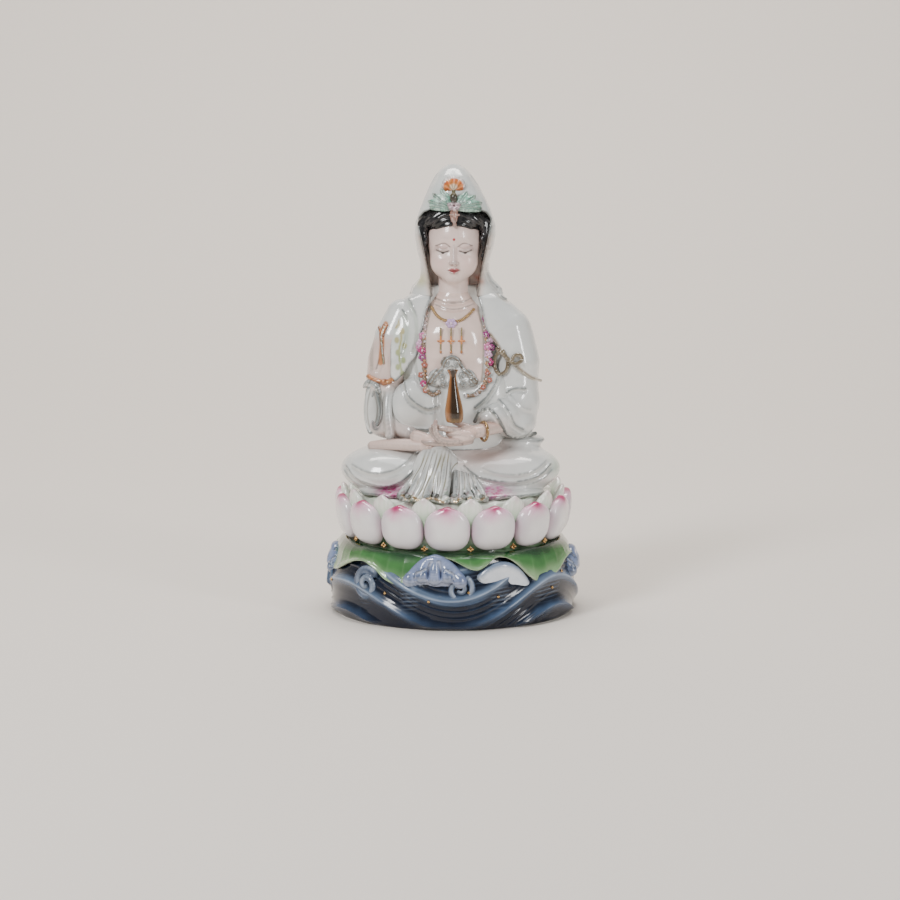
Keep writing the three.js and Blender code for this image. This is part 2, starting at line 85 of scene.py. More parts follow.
def spline(points, count):
    """A Catmull-Rom curve through points of any width, as count rows."""
    p = np.array(points, float)
    p = np.vstack([2 * p[0] - p[1], p, 2 * p[-1] - p[-2]])
    t = np.linspace(0, len(p) - 3 - 1e-9, count)
    i = t.astype(int)
    f = (t - i)[:, None]
    a, b, c, d = p[i], p[i + 1], p[i + 2], p[i + 3]
    return 0.5 * (2 * b + (c - a) * f + (2 * a - 5 * b + 4 * c - d) * f**2 + (3 * b - a - 3 * c + d) * f**3)


def lattice(p, scale, seed):
    """Smooth value noise in -1..1 at points (N, 3)."""
    rng = np.random.default_rng(seed)
    cells = rng.uniform(-1, 1, (CELLS, CELLS, CELLS)).astype(F)
    q = p * F(scale) + F(seed * 3.7)
    i = np.floor(q).astype(int)
    f = (q - i).astype(F)
    f = f * f * (3 - 2 * f)
    out = np.zeros(len(p), F)
    for dx in (0, 1):
        for dy in (0, 1):
            for dz in (0, 1):
                wx = f[:, 0] if dx else 1 - f[:, 0]
                wy = f[:, 1] if dy else 1 - f[:, 1]
                wz = f[:, 2] if dz else 1 - f[:, 2]
                x, y, z = (i[:, 0] + dx) % CELLS, (i[:, 1] + dy) % CELLS, (i[:, 2] + dz) % CELLS
                out += wx * wy * wz * cells[x, y, z]
    return out


def near_path(p, path):
    """Distance from points (N, k) to a polyline (M, k), and how far along it (0 to 1) each is nearest."""
    best = np.full(len(p), 1e9, F)
    along = np.zeros(len(p), F)
    path = np.asarray(path, F)
    for i in range(len(path) - 1):
        a, b = path[i], path[i + 1]
        ab = b - a
        t = np.clip(((p - a) @ ab) / max(float(ab @ ab), 1e-9), 0, 1)
        d = np.linalg.norm(p - a - t[:, None] * ab, axis=1)
        closer = d < best
        best = np.where(closer, d, best)
        along = np.where(closer, (i + t) / (len(path) - 1), along)
    return best, along


# ---- Clay: a distance field on a grid, added to and cut in blocks ----
class Clay:
    def __init__(self, lo, hi, step):
        self.lo, self.step = np.array(lo, F), step
        self.n = [int(math.ceil((hi[i] - lo[i]) / step)) + 1 for i in range(3)]
        self.d = np.full(self.n, 40, F)

    def slices(self, lo, hi):
        out = []
        for i in range(3):
            a = max(0, int((lo[i] - self.lo[i]) / self.step))
            b = min(self.n[i], int((hi[i] - self.lo[i]) / self.step) + 2)
            out.append(slice(a, max(a, b)))
        return tuple(out)

    def coords(self, s):
        return [
            (self.lo[i] + self.step * np.arange(s[i].start, s[i].stop,
                                                dtype=F)).reshape([-1 if j == i else 1 for j in range(3)])
            for i in range(3)
        ]

    def put(self, lo, hi, field, k=0.0, cut=False):
        pad = k + 4 * self.step + 1
        s = self.slices([v - pad for v in lo], [v + pad for v in hi])
        if any(q.stop <= q.start for q in s):
            return self
        d = field(*self.coords(s)).astype(F)
        self.d[s] = smax(self.d[s], -d, k) if cut else smin(self.d[s], d, k)
        return self

    def ell(self, c, r, k=0.0, cut=False, lean=0.0, turn=0.0, roll=0.0):
        """An ellipsoid leaned about X, rolled about Y, then turned about Z."""
        reach = max(r) if (lean or turn or roll) else None
        lo = [c[i] - (reach or r[i]) for i in range(3)]
        hi = [c[i] + (reach or r[i]) for i in range(3)]
        m = rotation(lean, turn, roll)

        def field(x, y, z):
            x, y, z = x - F(c[0]), y - F(c[1]), z - F(c[2])
            q = [m[0][i] * x + m[1][i] * y + m[2][i] * z for i in range(3)] if reach else [x, y, z]
            k0 = np.sqrt((q[0] / r[0]) ** 2 + (q[1] / r[1]) ** 2 + (q[2] / r[2]) ** 2)
            k1 = np.sqrt((q[0] / r[0] ** 2) ** 2 + (q[1] / r[1] ** 2) ** 2 + (q[2] / r[2] ** 2) ** 2)
            return k0 * (k0 - 1) / np.maximum(k1, 1e-6)

        return self.put(lo, hi, field, k, cut)

    def tube(self, points, radii, k=0.0, cut=False, flat=None):
        """Round cones along points. flat squeezes them along one axis: (axis, share)."""
        pts = np.array(points, float)
        radii = np.broadcast_to(np.array(radii, float), len(pts))
        pad = k + 4 * self.step + 1 + float(radii.max())
        home = self.slices(pts.min(0) - pad, pts.max(0) + pad)
        start = [q.start for q in home]
        whole = np.full([max(q.stop - q.start, 0) for q in home], 40, F)
        if 0 in whole.shape:
            return self
        for i in range(len(pts) - 1):
            a, b, ra, rb = pts[i], pts[i + 1], radii[i], radii[i + 1]
            big = max(ra, rb)

            def field(x, y, z, a=a, b=b, ra=ra, rb=rb):
                ab = b - a
                w = [1.0, 1.0, 1.0]
                if flat:
                    w[flat[0]] = 1 / flat[1]
                px, py, pz = (x - F(a[0])) * F(w[0]), (y - F(a[1])) * F(w[1]), (z - F(a[2])) * F(w[2])
                ab = ab * w
                t = np.clip((px * F(ab[0]) + py * F(ab[1]) + pz * F(ab[2])) / F(max(ab @ ab, 1e-9)), 0, 1)
                d = np.sqrt((px - t * F(ab[0])) ** 2 + (py - t * F(ab[1])) ** 2 + (pz - t * F(ab[2])) ** 2)
                return (d - (F(ra) + t * F(rb - ra))) * F(flat[1] if flat else 1)

            edge = big + k + 4 * self.step + 1
            s = self.slices(np.minimum(a, b) - edge, np.maximum(a, b) + edge)
            if any(q.stop <= q.start for q in s):
                continue
            local = tuple(slice(q.start - o, q.stop - o) for q, o in zip(s, start))
            whole[local] = np.minimum(whole[local], field(*self.coords(s)).astype(F))
        self.d[home] = smax(self.d[home], -whole, k) if cut else smin(self.d[home], whole, k)
        return self

    def press(self, margin, height, box=None):
        """Raises the surface by height(points), in signed millimetres, where it is near and in the box."""
        s = self.slices(*box) if box else tuple(slice(0, n) for n in self.n)
        part = self.d[s]
        mask = np.abs(part) < margin
        i = np.argwhere(mask) + np.array([q.start for q in s])
        part[mask] -= height((self.lo + i * F(self.step)).astype(F)).astype(F)
        return self

    def soften(self, rounds=1):
        for _ in range(rounds):
            for axis in range(3):
                a = np.roll(self.d, 1, axis)
                b = np.roll(self.d, -1, axis)
                self.d = (a + b + 2 * self.d) * F(0.25)
        return self

    def surface(self):
        self.d[[0, -1]] = 5
        self.d[:, [0, -1]] = 5
        self.d[:, :, [0, -1]] = 5
        grid = openvdb.FloatGrid(6.0)
        grid.copyFromArray(np.clip(self.d, -6, 6))
        points, quads = grid.convertToQuads(0.0)
        return points.astype(F) * F(self.step) + self.lo, quads[:, ::-1]


def all_below(level):
    """A field for everything below a height."""
    return lambda x, y, z: (z - F(level)) + 0 * x + 0 * y


def rotation(lean=0.0, turn=0.0, roll=0.0):
    ca, sa = math.cos(lean), math.sin(lean)
    cb, sb = math.cos(roll), math.sin(roll)
    cc, sc = math.cos(turn), math.sin(turn)
    rx = np.array([[1, 0, 0], [0, ca, -sa], [0, sa, ca]])
    ry = np.array([[cb, 0, sb], [0, 1, 0], [-sb, 0, cb]])
    rz = np.array([[cc, -sc, 0], [sc, cc, 0], [0, 0, 1]])
    return (rz @ ry @ rx).astype(F)


# ---- Meshes ----
def grid_quads(nu, nv, wrap_u=False, wrap_v=False):
    u = np.arange(nu if wrap_u else nu - 1)
    v = np.arange(nv if wrap_v else nv - 1)
    a, b = np.meshgrid(u, v, indexing="ij")
    c, d = (a + 1) % nu, (b + 1) % nv
    return np.stack([a * nv + b, c * nv + b, c * nv + d, a * nv + d], -1).reshape(-1, 4)


def tidy_loose(points, faces):
    """Keeps the largest of the separate shells."""
    parent = np.arange(len(points))
    edges = np.vstack([faces[:, [i, (i + 1) % faces.shape[1]]] for i in range(faces.shape[1])])
    while True:
        low = np.minimum(parent[edges[:, 0]], parent[edges[:, 1]])
        new = parent.copy()
        np.minimum.at(new, edges[:, 0], low)
        np.minimum.at(new, edges[:, 1], low)
        new = new[new]
        if (new == parent).all():
            break
        parent = new
    label, count = np.unique(parent[faces[:, 0]], return_counts=True)
    return faces[parent[faces[:, 0]] == label[count.argmax()]]


def hollows(points, faces, normals, rounds=2):
    """How hollow the surface is at each point, per millimetre: positive in folds, negative on ridges."""
    count = faces.shape[1]
    a = np.concatenate([faces[:, i] for i in range(count)])
    b = np.concatenate([faces[:, (i + 1) % count] for i in range(count)])
    a, b = np.concatenate([a, b]), np.concatenate([b, a])
    share = 1 / np.maximum(np.bincount(a, minlength=len(points)), 1)
    mean = np.stack([np.bincount(a, points[b, i], len(points)) * share for i in range(3)], -1)
    edge = float(np.linalg.norm(points[a[::7]] - points[b[::7]], axis=1).mean())
    bend = 2 * ((mean - points) * normals).sum(1) / edge**2
    for _ in range(rounds):
        bend = 0.5 * bend + 0.5 * np.bincount(a, bend[b], len(points)) * share
    return bend


def piece(name, points, faces, slot, material, replaces=(), paint=None, gilt=None, whole=False, painted_shade=0.0):
    """A smooth mesh piece that rides on the figure.

    paint(points, normals) gives its colours, gilt its gold share, and the shade strength how dark the
    painted shade in its folds is, with a faint painted highlight on its ridges.
    """
    points, faces = np.asarray(points, F), np.asarray(faces)
    if not whole:
        faces = tidy_loose(points, faces)
    used, index = np.unique(faces, return_inverse=True)
    points, faces = points[used], index.reshape(faces.shape)
    mesh = bpy.data.meshes.new(name)
    sides = faces.shape[1]
    mesh.vertices.add(len(points))
    mesh.vertices.foreach_set("co", ((points - np.array([0, 0, FOOT], F)) * F(0.001)).ravel())
    mesh.loops.add(faces.size)
    mesh.loops.foreach_set("vertex_index", faces.ravel().astype(np.int32))
    mesh.polygons.add(len(faces))
    mesh.polygons.foreach_set("loop_start", np.arange(0, faces.size, sides, dtype=np.int32))
    mesh.polygons.foreach_set("use_smooth", np.ones(len(faces), bool))
    mesh.update(calc_edges=True)
    mesh.validate()
    normals = np.zeros(len(mesh.vertices) * 3, F)
    mesh.vertices.foreach_get("normal", normals)
    normals = normals.reshape(-1, 3)
    if len(mesh.vertices) == len(points):
        colours = np.ones((len(points), 4), F)
        colours[:, :3] = paint(points, normals) if paint else 0.8
        # Painted shade darkens the folds and a faint painted highlight lightens the ridges, by how hollow
        # the surface is.
        if painted_shade:
            bend = hollows(points, faces, normals)
            deep = smooth(0.015, 0.30, bend)[:, None]
            colours[:, :3] *= 1 - painted_shade * deep * np.array([1.0, 0.96, 0.95], F)
            colours[:, :3] = mix(colours[:, :3], (0.78, 0.78, 0.76), 0.18 * painted_shade * smooth(0.05, 0.4, -bend))
        mesh.attributes.new("paint", "FLOAT_COLOR", "POINT").data.foreach_set("color", colours.ravel())
        gold = np.clip(gilt(points, normals), 0, 1).astype(F) if gilt else np.zeros(len(points), F)
        mesh.attributes.new("gilt", "FLOAT", "POINT").data.foreach_set("value", gold)
    mesh.materials.append(material)
    obj = bpy.data.objects.new(name, mesh)
    bpy.context.scene.collection.objects.link(obj)
    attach(obj, "root")
    if replaces:
        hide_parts(*replaces)
    return obj


# ---- Glazes ----
WEAR_SCALE = 420.0
PEEL_SCALE = 300.0
PEEL_DEPTH = 0.0004
SKIN_DEPTH = 0.002
GOLD_DARK = (0.32, 0.17, 0.06, 1)
GOLD_BRIGHT = (0.62, 0.40, 0.16, 1)


def noise(nodes, links, where, scale, detail):
    """A noise node in the object's own space."""
    node = nodes.new("ShaderNodeTexNoise")
    node.inputs["Scale"].default_value = scale
    node.inputs["Detail"].default_value = detail
    links.new(where.outputs["Object"], node.inputs["Vector"])
    return node


def glaze(name, rough=0.2, coat=1.0, mottle=0.05, mottle_scale=60.0, orange_peel=0.04, sub=0.0, spec=0.5):
    """Painted porcelain under a clear glaze: colour from paint, gold where gilt, and faint mottling."""
    mat = bpy.data.materials.new(name)
    mat.use_nodes = True
    nodes, links = mat.node_tree.nodes, mat.node_tree.links
    shader = nodes["Principled BSDF"]
    where = nodes.new("ShaderNodeTexCoord")
    cloud = noise(nodes, links, where, mottle_scale, 4)
    paint = nodes.new("ShaderNodeAttribute")
    paint.attribute_name = "paint"
    gold = nodes.new("ShaderNodeAttribute")
    gold.attribute_name = "gilt"
    shade = nodes.new("ShaderNodeMapRange")
    shade.inputs["From Min"].default_value = 0.3
    shade.inputs["From Max"].default_value = 0.7
    shade.inputs["To Min"].default_value = 1 - mottle
    shade.inputs["To Max"].default_value = 1 + mottle
    links.new(cloud.outputs["Fac"], shade.inputs["Value"])
    tint = nodes.new("ShaderNodeMix")
    tint.data_type = "RGBA"
    tint.blend_type = "MULTIPLY"
    tint.inputs["Factor"].default_value = 1.0
    links.new(paint.outputs["Color"], tint.inputs["A"])
    links.new(shade.outputs["Result"], tint.inputs["B"])
    # Gold lustre, worn thin in places.
    wear = noise(nodes, links, where, WEAR_SCALE, 5)
    lustre = nodes.new("ShaderNodeMix")
    lustre.data_type = "RGBA"
    lustre.inputs["A"].default_value = GOLD_DARK
    lustre.inputs["B"].default_value = GOLD_BRIGHT
    links.new(wear.outputs["Fac"], lustre.inputs["Factor"])
    colour = nodes.new("ShaderNodeMix")
    colour.data_type = "RGBA"
    links.new(gold.outputs["Fac"], colour.inputs["Factor"])
    links.new(tint.outputs["Result"], colour.inputs["A"])
    links.new(lustre.outputs["Result"], colour.inputs["B"])
    links.new(colour.outputs["Result"], shader.inputs["Base Color"])
    links.new(gold.outputs["Fac"], shader.inputs["Metallic"])
    gloss = nodes.new("ShaderNodeMapRange")
    gloss.inputs["To Min"].default_value = rough * 0.75
    gloss.inputs["To Max"].default_value = rough * 1.35
    links.new(cloud.outputs["Fac"], gloss.inputs["Value"])
    links.new(gloss.outputs["Result"], shader.inputs["Roughness"])
    shader.inputs["Coat Weight"].default_value = coat
    shader.inputs["Coat Roughness"].default_value = 0.05
    shader.inputs["Specular IOR Level"].default_value = spec
    if sub:
        shader.inputs["Subsurface Weight"].default_value = sub
        shader.inputs["Subsurface Scale"].default_value = SKIN_DEPTH
    peel = noise(nodes, links, where, PEEL_SCALE, 2)
    relief = nodes.new("ShaderNodeBump")
    relief.inputs["Strength"].default_value = orange_peel
    relief.inputs["Distance"].default_value = PEEL_DEPTH
    links.new(peel.outputs["Fac"], relief.inputs["Height"])
    links.new(relief.outputs["Normal"], shader.inputs["Normal"])
    return mat


WHITE = (0.70, 0.71, 0.69)
SHADOW = (0.40, 0.42, 0.42)
porcelain = glaze("porcelain", rough=0.18)
skin = glaze("skin_glaze", rough=0.32, coat=0.5, mottle=0.03)
petal_glaze = glaze("petal_glaze", rough=0.2, mottle=0.04)
leaf_glaze = glaze("leaf_glaze", rough=0.2, mottle=0.12, mottle_scale=90.0)
wave_glaze = glaze("wave_glaze", rough=0.16, coat=0.25, mottle=0.16, mottle_scale=70.0, orange_peel=0.06,
                   spec=0.32)
foam_glaze = glaze("foam_glaze", rough=0.2, mottle=0.08)
ebony = glaze("hair_glaze", rough=0.16, coat=0.35, mottle=0.25, orange_peel=0.02, spec=0.4)
lustre_glaze = glaze("gold_lustre", rough=0.2, coat=0.6, mottle=0.15, mottle_scale=200.0)
enamel = glaze("enamel", rough=0.28, coat=0.7, mottle=0.12, mottle_scale=240.0)


# ---- Wave base ----
def angle_of(p):
    return np.arctan2(p[..., 0], -p[..., 1])


def wrap(a):
    return (a + math.pi) % TAU - math.pi


# Curled wave eyes on the drum: degrees from the front towards +X, height, reach, sense.
CURLS = [ (104, 32, 17, -1), (150, 26, 17, 1), (-168, 34, 16, -1),
         (-128, 26, 17, 1), (-86, 22, 14, -1)]


def swell(angle, z):
    """Height of the wave relief in millimetres and how crested it is (0 to 1)."""
    sweep = 0.24 * (z - 17 * (1 - np.cos(3 * (angle + 0.10)))) + 1.0 * np.sin(4 * angle + 0.8)
    ridge = 1 - np.abs(np.sin(sweep / 2 + 0.4))
    patch = 0.35 + 0.65 * smooth(-0.2, 0.8, np.sin(3 * angle + 0.09 * z))
    fine = (1 - np.abs(np.sin(sweep * 2.1 + 0.9 * np.sin(4 * angle)))) * patch
    h = 3.9 * ridge**1.5 + 1.1 * fine**2
    crest = np.maximum(ridge**2.5, 0.7 * fine**4)
    for degrees, height, reach, sense in CURLS:
        dx = wrap(angle - math.radians(degrees)) * 110
        dz = z - height
        r = np.hypot(dx, dz)
        spin = np.arctan2(dz, dx * sense)
        arm = 0.5 + 0.5 * np.cos(spin * 1 - 6.2 * np.log1p(r / 4))
        inside = 1 - smooth(0.55, 1.0, r / reach)
        local = 4.2 * arm * smooth(0, 5, r) + 1.2
        h = h * (1 - inside) + local * inside
        crest = crest * (1 - inside) + arm**3 * inside
    return h, crest


nu, nv = 1100, 96
t = np.linspace(0, 1, nv)
turn = np.arange(nu) * TAU / nu
A, Z = np.meshgrid(turn, FOOT + (58 - FOOT) * t, indexing="ij")
A = wrap(A)
relief, crest = swell(A, Z)
relief = relief * smooth(FOOT, FOOT + 5, Z) * (1 - 0.75 * smooth(38, 52, Z))
DRUM = ([-7, -4, 5, 16, 31, 44, 58], [109.5, 111, 112, 112, 110.5, 106, 100.5])
R = np.interp(Z, *DRUM) + relief
skin_pts = np.stack([np.sin(A) * R, -np.cos(A) * R, Z], -1)
inner = []
for radius, z in [(82, 57.9), (82, 46), (97, 38), (101, FOOT)]:
    a = wrap(turn)
    inner.append(np.stack([np.sin(a) * radius, -np.cos(a) * radius, np.full(nu, z)], -1))
drum = np.concatenate([skin_pts, np.stack(inner, 1)], 1)


def paint_waves(p, n):
    a, z = angle_of(p), p[:, 2]
    h, c = swell(a, z)
    deep, mid, pale = (0.004, 0.008, 0.020), (0.045, 0.080, 0.150), (0.34, 0.41, 0.53)
    rise = smooth(0.2, 3.8, h + 0.6 * lattice(p, 0.12, 3))
    col = mix(deep, mid, rise)
    col = mix(col, (0.115, 0.165, 0.245), 0.75 * smooth(10, 34, z + 6 * lattice(p, 0.035, 8))
              * smooth(0.6, 3.0, h))
    col = mix(col, pale, 0.75 * smooth(0.60, 1.0, c) * smooth(2, 28, z))
    col = mix(col, (0.003, 0.005, 0.015), 0.75 * smooth(9, FOOT + 2, z + 3 * lattice(p, 0.05, 2)))
    hatch = smooth(0.75, 1.0, np.abs(np.sin(0.9 * z - 7
                                            * np.sin(a * 1.5)))) * smooth(0.1, 0.7, lattice(p, 0.05, 17))
    col = mix(col, (0.20, 0.26, 0.36), 0.35 * hatch * smooth(4, 24, z))
    return mix(col, (0.75, 0.74, 0.70), np.asarray(z < FOOT + 0.4) * (n[:, 2] < -0.5) * 0.9)


piece("waves", drum.reshape(-1, 3), grid_quads(nu, nv + 4, True, True), "wave_glaze", wave_glaze,
      ["wave_base"],
      paint_waves, whole=True)

# ---- Lotus leaf skirt ----
LEAF_EDGE = [(-80, 31), (-47, 48), (-27, 31), (-4, 57), (11, 46), (22, 57), (47, 29), (74, 47), (104, 31),
             (136, 52),
             (165, 33), (192, 53), (222, 31), (252, 49), (280, 31)]


def leaf_edge(a):
    degrees = (np.degrees(a) + 80) % 360 - 80
    at, height = np.array([e[0] for e in LEAF_EDGE]), np.array([e[1] for e in LEAF_EDGE], float)
    i = np.clip(np.searchsorted(at, degrees, "right") - 1, 0, len(at) - 2)
    s = (degrees - at[i]) / (at[i + 1] - at[i])
    return height[i] + (height[i + 1] - height[i]) * (1 - np.cos(math.pi * s)) / 2


def leaf_sheet(a, share, lift):
    """A point on the leaf at share of the way from the seat to its edge, lift above its underside."""
    drape = np.clip((share - 0.28) / 0.72, 0, 1)
    edge = leaf_edge(a)
    low = (58 - edge) / 25
    rad = np.where(share < 0.28, 86.8 + 11.5 * share / 0.28, 98.3 + 9.2 * drape**0.6)
    z = 58.6 + (edge - 58.6) * drape**1.6
    vein = np.abs(np.sin(a * 21 + 0.5 * np.sin(3 * a)))
    ruffle = 0.55 * (1 - vein) ** 2 * drape + 0.8 * np.sin(a * 34 + 4 * low) * smooth(0.7, 1, share) * 0.35
    roll = 2.1 * smooth(0.86, 0.985, share)
    out = lift * smooth(0, 0.5, drape) + ruffle + roll * 0.7
    up = lift * (1 - 0.6 * smooth(0, 0.5, drape)) + roll * 0.45 * (share < 2)
    rad = rad + out
    return np.stack([np.sin(a) * rad, -np.cos(a) * rad, z + up], -1)


nu, nv = 900, 34
shares = np.linspace(0, 1, nv) ** 0.85
A, S = np.meshgrid(wrap(np.arange(nu) * TAU / nu), shares, indexing="ij")
top = leaf_sheet(A, S, 2.4)
under = leaf_sheet(A, S, 0.3)[:, ::-1]
leaf_points = np.concatenate([top, under], 1)


def paint_leaf(p, n):
    a, z = angle_of(p), p[:, 2]
    r = np.hypot(p[:, 0], p[:, 1])
    edge = leaf_edge(a)
    below = np.clip((60 - z) / np.maximum(60 - edge, 2), 0, 1)
    dark, mid = (0.006, 0.042, 0.012), (0.045, 0.165, 0.040)
    pale, rim = (0.30, 0.46, 0.24), (0.66, 0.62, 0.50)
    # Darker green towards the seat is painted shade under the petals over the leaf's own green, which pales
    # towards the rim.
    t = below * 0.80 + 0.10 * smooth(96, 108, r) + 0.10 * lattice(p, 0.10, 9)
    col = mix(dark, mid, smooth(0.04, 0.42, t))
    col = mix(col, pale, smooth(0.44, 0.95, t))
    vein = (1 - np.abs(np.sin(a * 21 + 0.5 * np.sin(3 * a)))) ** 6
    col = mix(col, pale, 0.12 * vein * smooth(0.1, 0.5, t))
    near_edge = smooth(3.6, 1.2, z - edge + 1.0)
    return mix(col, rim, near_edge)


piece("leaf_skirt", leaf_points.reshape(-1, 3), grid_quads(nu, 2 * nv, True, True)[:, ::-1], "leaf_glaze",
      leaf_glaze,
      ["lotus_leaf"], paint_leaf, whole=True)

# ---- Foam crests ----
CRESTS = [
    ("front_centre", -23, 6, 33, 57, 7.4, 5, 0), ("front_right", 12, 39, 33, 50, 6.4, 0, -12),
    ("left", -105, -82, 27, 49, 6.8, 5, 0), ("right", 73, 98, 27, 49, 6.8, 5, 0),
    ("back", 163, 205, 38, 54, 7.2, 8, 0),
]


def on_drum(degrees, radius, z):
    a = math.radians(degrees)
    return np.array([math.sin(a) * radius, -math.cos(a) * radius, z])


def foam(name, start, end, low, crown, thick, fingers, tilt):
    """A fan of foam from start to end degrees, smooth when fingers is 0.

    tilt is how much higher its far end stands.
    """
    node = "crest_" + name if name != "back" else None
    ends = np.array([on_drum(start + (end - start) * s, 108, z) for s in np.linspace(0, 1, 7)
                     for z in (low, crown, low + tilt / 2)])
    clay = Clay(ends.min(0) - 15, ends.max(0) + 15, 0.62)
    span = end - start
    for s in np.linspace(0.10, 0.90, 9):
        rise = math.sin(math.pi * s) ** 0.75
        lift = tilt * (s - 0.5)
        top = low + (crown - low) * rise + lift
        clay.tube([on_drum(start + span * s, 103.5, low - 1 + lift),
                   on_drum(start + span * s, 105.5, top - 4)], [5.5, 5.8], k=4)
    arc = []
    for s in np.linspace(0.02, 0.98, 9):
        rise = math.sin(math.pi * s) ** 0.8
        arc.append((*on_drum(start + span * s, 107.5 + 1.5 * rise, low + (crown - low) * rise - 0.5
                             + tilt * (s - 0.5)),
                    thick * (0.30 + 0.34 * rise)))
    arc = spline(arc, 26)
    clay.tube(arc[:, :3], arc[:, 3], k=2.5)
    drops = []
    for i in range(fingers):
        s = (i + 0.6) / (fingers + 0.2)
        rise = math.sin(math.pi * s) ** 0.8
        z = low + (crown - low) * rise + tilt * (0.6 * s - 0.3)
        foot_z = low + 2 + 0.30 * (crown - low) * rise + 1.6 * math.sin(i * 2.4) + tilt * (s - 0.5)
        reach = 0.45 * span * 110 * math.pi / 180 / fingers
        drops.append(spline([on_drum(start + span * (0.5 + (s - 0.5) * 0.6), 107, z),
                             on_drum(start + span * s, 112, (z + foot_z) / 2),
                             on_drum(start + span * (0.5 + (s - 0.5) * 1.05), 112, foot_z)], 10))
        clay.tube(drops[-1], np.linspace(reach * 0.75, reach * 1.2, 10), k=3.5)
        clay.ell(drops[-1][-1], (reach * 1.15, reach * 1.1, reach * 1.1), k=1.2)
    for i in range(fingers - 1):
        valley = (drops[i] + drops[i + 1]) / 2
        clay.press(3, lambda p, v=valley: -1.3 * bump(near_path(p[:, [0, 2]], v[:, [0, 2]])[0], 0, 1.1),
                   (valley.min(0) - 8, valley.max(0) + 8))

    def paint(p, n):
        # Painted light: paler where the foam faces up, darker blue where it faces down.
        base = mix((0.19, 0.25, 0.38), (0.66, 0.71, 0.78),
                   smooth(-0.7, 0.8, n[:, 2] + 0.35 * lattice(p, 0.12, 5)))
        ridge = np.full(len(p), 9.0 if drops else 0.0, F)
        for path in drops:
            ridge = np.minimum(ridge, near_path(p, path)[0])
        col = mix(base, (0.16, 0.21, 0.44), 0.45 * smooth(3.0, 5.5, ridge))
        # Painted shade under the low edge where it faces down.
        col = mix(col, (0.03, 0.06, 0.15), 0.75 * smooth(low + 5, low - 3, p[:, 2])
                  * smooth(0.3, -0.6, n[:, 2]))
        # Whitish foam along the finger ridges, lightened where they face up as a painted highlight.
        return mix(col, (0.72, 0.76, 0.82), 0.75 * smooth(3.6, 1.8, ridge) * smooth(-0.7, 0.4, n[:, 2]))

    piece("foam_" + name, *clay.surface(), "foam_glaze", foam_glaze, [node] if node else (), paint,
          painted_shade=0.6)


for crest_row in CRESTS:
    foam(*crest_row)


def curl(name, degrees, height, reach, sense, turns, thick, replaces=()):
    """A rolled wave: a tapering spiral that lies against the drum."""
    path = []
    for s in np.linspace(0, 1, 44):
        r = reach * (1 - 0.86 * s)
        a = 0.9 + sense * turns * TAU * s
        x, z = r * math.cos(a), r * math.sin(a)
        path.append(on_drum(degrees + math.degrees(x / 110), 109.5 + 3.0 * s, height + z))
    path = np.array(path)
    clay = Clay(path.min(0) - thick - 4, path.max(0) + thick + 4, 0.6)
    clay.tube(path, np.linspace(thick, thick * 0.55, 44), k=0.8)

    def paint(p, n):
        rim = near_path(p, path)[0]
        # Painted light: lighter where the curl faces up.
        col = mix((0.035, 0.06, 0.12), (0.16, 0.22, 0.33),
                  smooth(-0.5, 0.9, n[:, 2] + 0.3 * lattice(p, 0.2, 5)))
        # Painted shade where the curl meets the drum, away from its middle.
        col = mix(col, (0.010, 0.018, 0.045), smooth(thick * 0.95, thick * 1.3, rim))
        # A painted highlight along the upper front of the curl.
        return mix(col, (0.50, 0.58, 0.72), 0.6
                   * smooth(thick * 0.75, thick * 0.2, near_path(p, path + np.array([0, -2.4, 1.8], F))[0]))

    return piece(name, *clay.surface(), "wave_glaze" if not replaces else "foam_glaze", wave_glaze,
                 replaces, paint, painted_shade=0.5)


curl("foam_front_left", -44.5, 29, 14.5, 1, 1.7, 4.2, ["crest_front_left"])
curl("wave_curl_front", 3, 30.5, 12, -1, 1.5, 3.4)

# ---- Lotus throne ----
PETALS = 15
STEP = TAU / PETALS
TURN = math.radians(-3)


def power(v, e):
    return np.sign(v) * np.abs(v) ** e


def petal(name, angle, centre, size, lean, tip, node, slot, paint, ribs=0.0):
    """A plump petal that faces outward: size is half width, depth outward and half height."""
    nu, nv = 56, 40
    u, v = np.meshgrid(np.arange(nu) * TAU / nu, np.linspace(0, math.pi, nv), indexing="ij")
    sx, sy, sz = np.sin(v) * np.cos(u), np.sin(v) * np.sin(u), np.cos(v)
    x = size[0] * power(sx, 0.72)
    front = np.clip(sy, 0, 1)
    out = np.where(sy > 0, size[1] * front**0.78, -4.5 * np.abs(sy))
    h = size[2] * power(sz, 0.84)
    up = np.clip(h / size[2], 0, 1)
    h = h + tip * np.exp(-((x / (size[0] * 0.30)) ** 2)) * up**2
    x = x * (1 - 0.10 * up**3)
    out = out + ribs * np.sin(x * 1.75) * front * (0.35 + 0.65 * up) + 1.6 * up**3
    out = out + lean * h
    r = centre[0] + out
    z = centre[1] + h
    a, b = math.sin(angle), math.cos(angle)
    points = np.stack([b * x + a * r, a * x - b * r, z], -1).reshape(-1, 3)
    local = np.stack([x / size[0], h / size[2], front], -1).reshape(-1, 3).astype(F)
    return piece(name, points, grid_quads(nu, nv, True, False), slot, petal_glaze, [node],
                 lambda p, n: paint(local[: len(p)], p), whole=True)


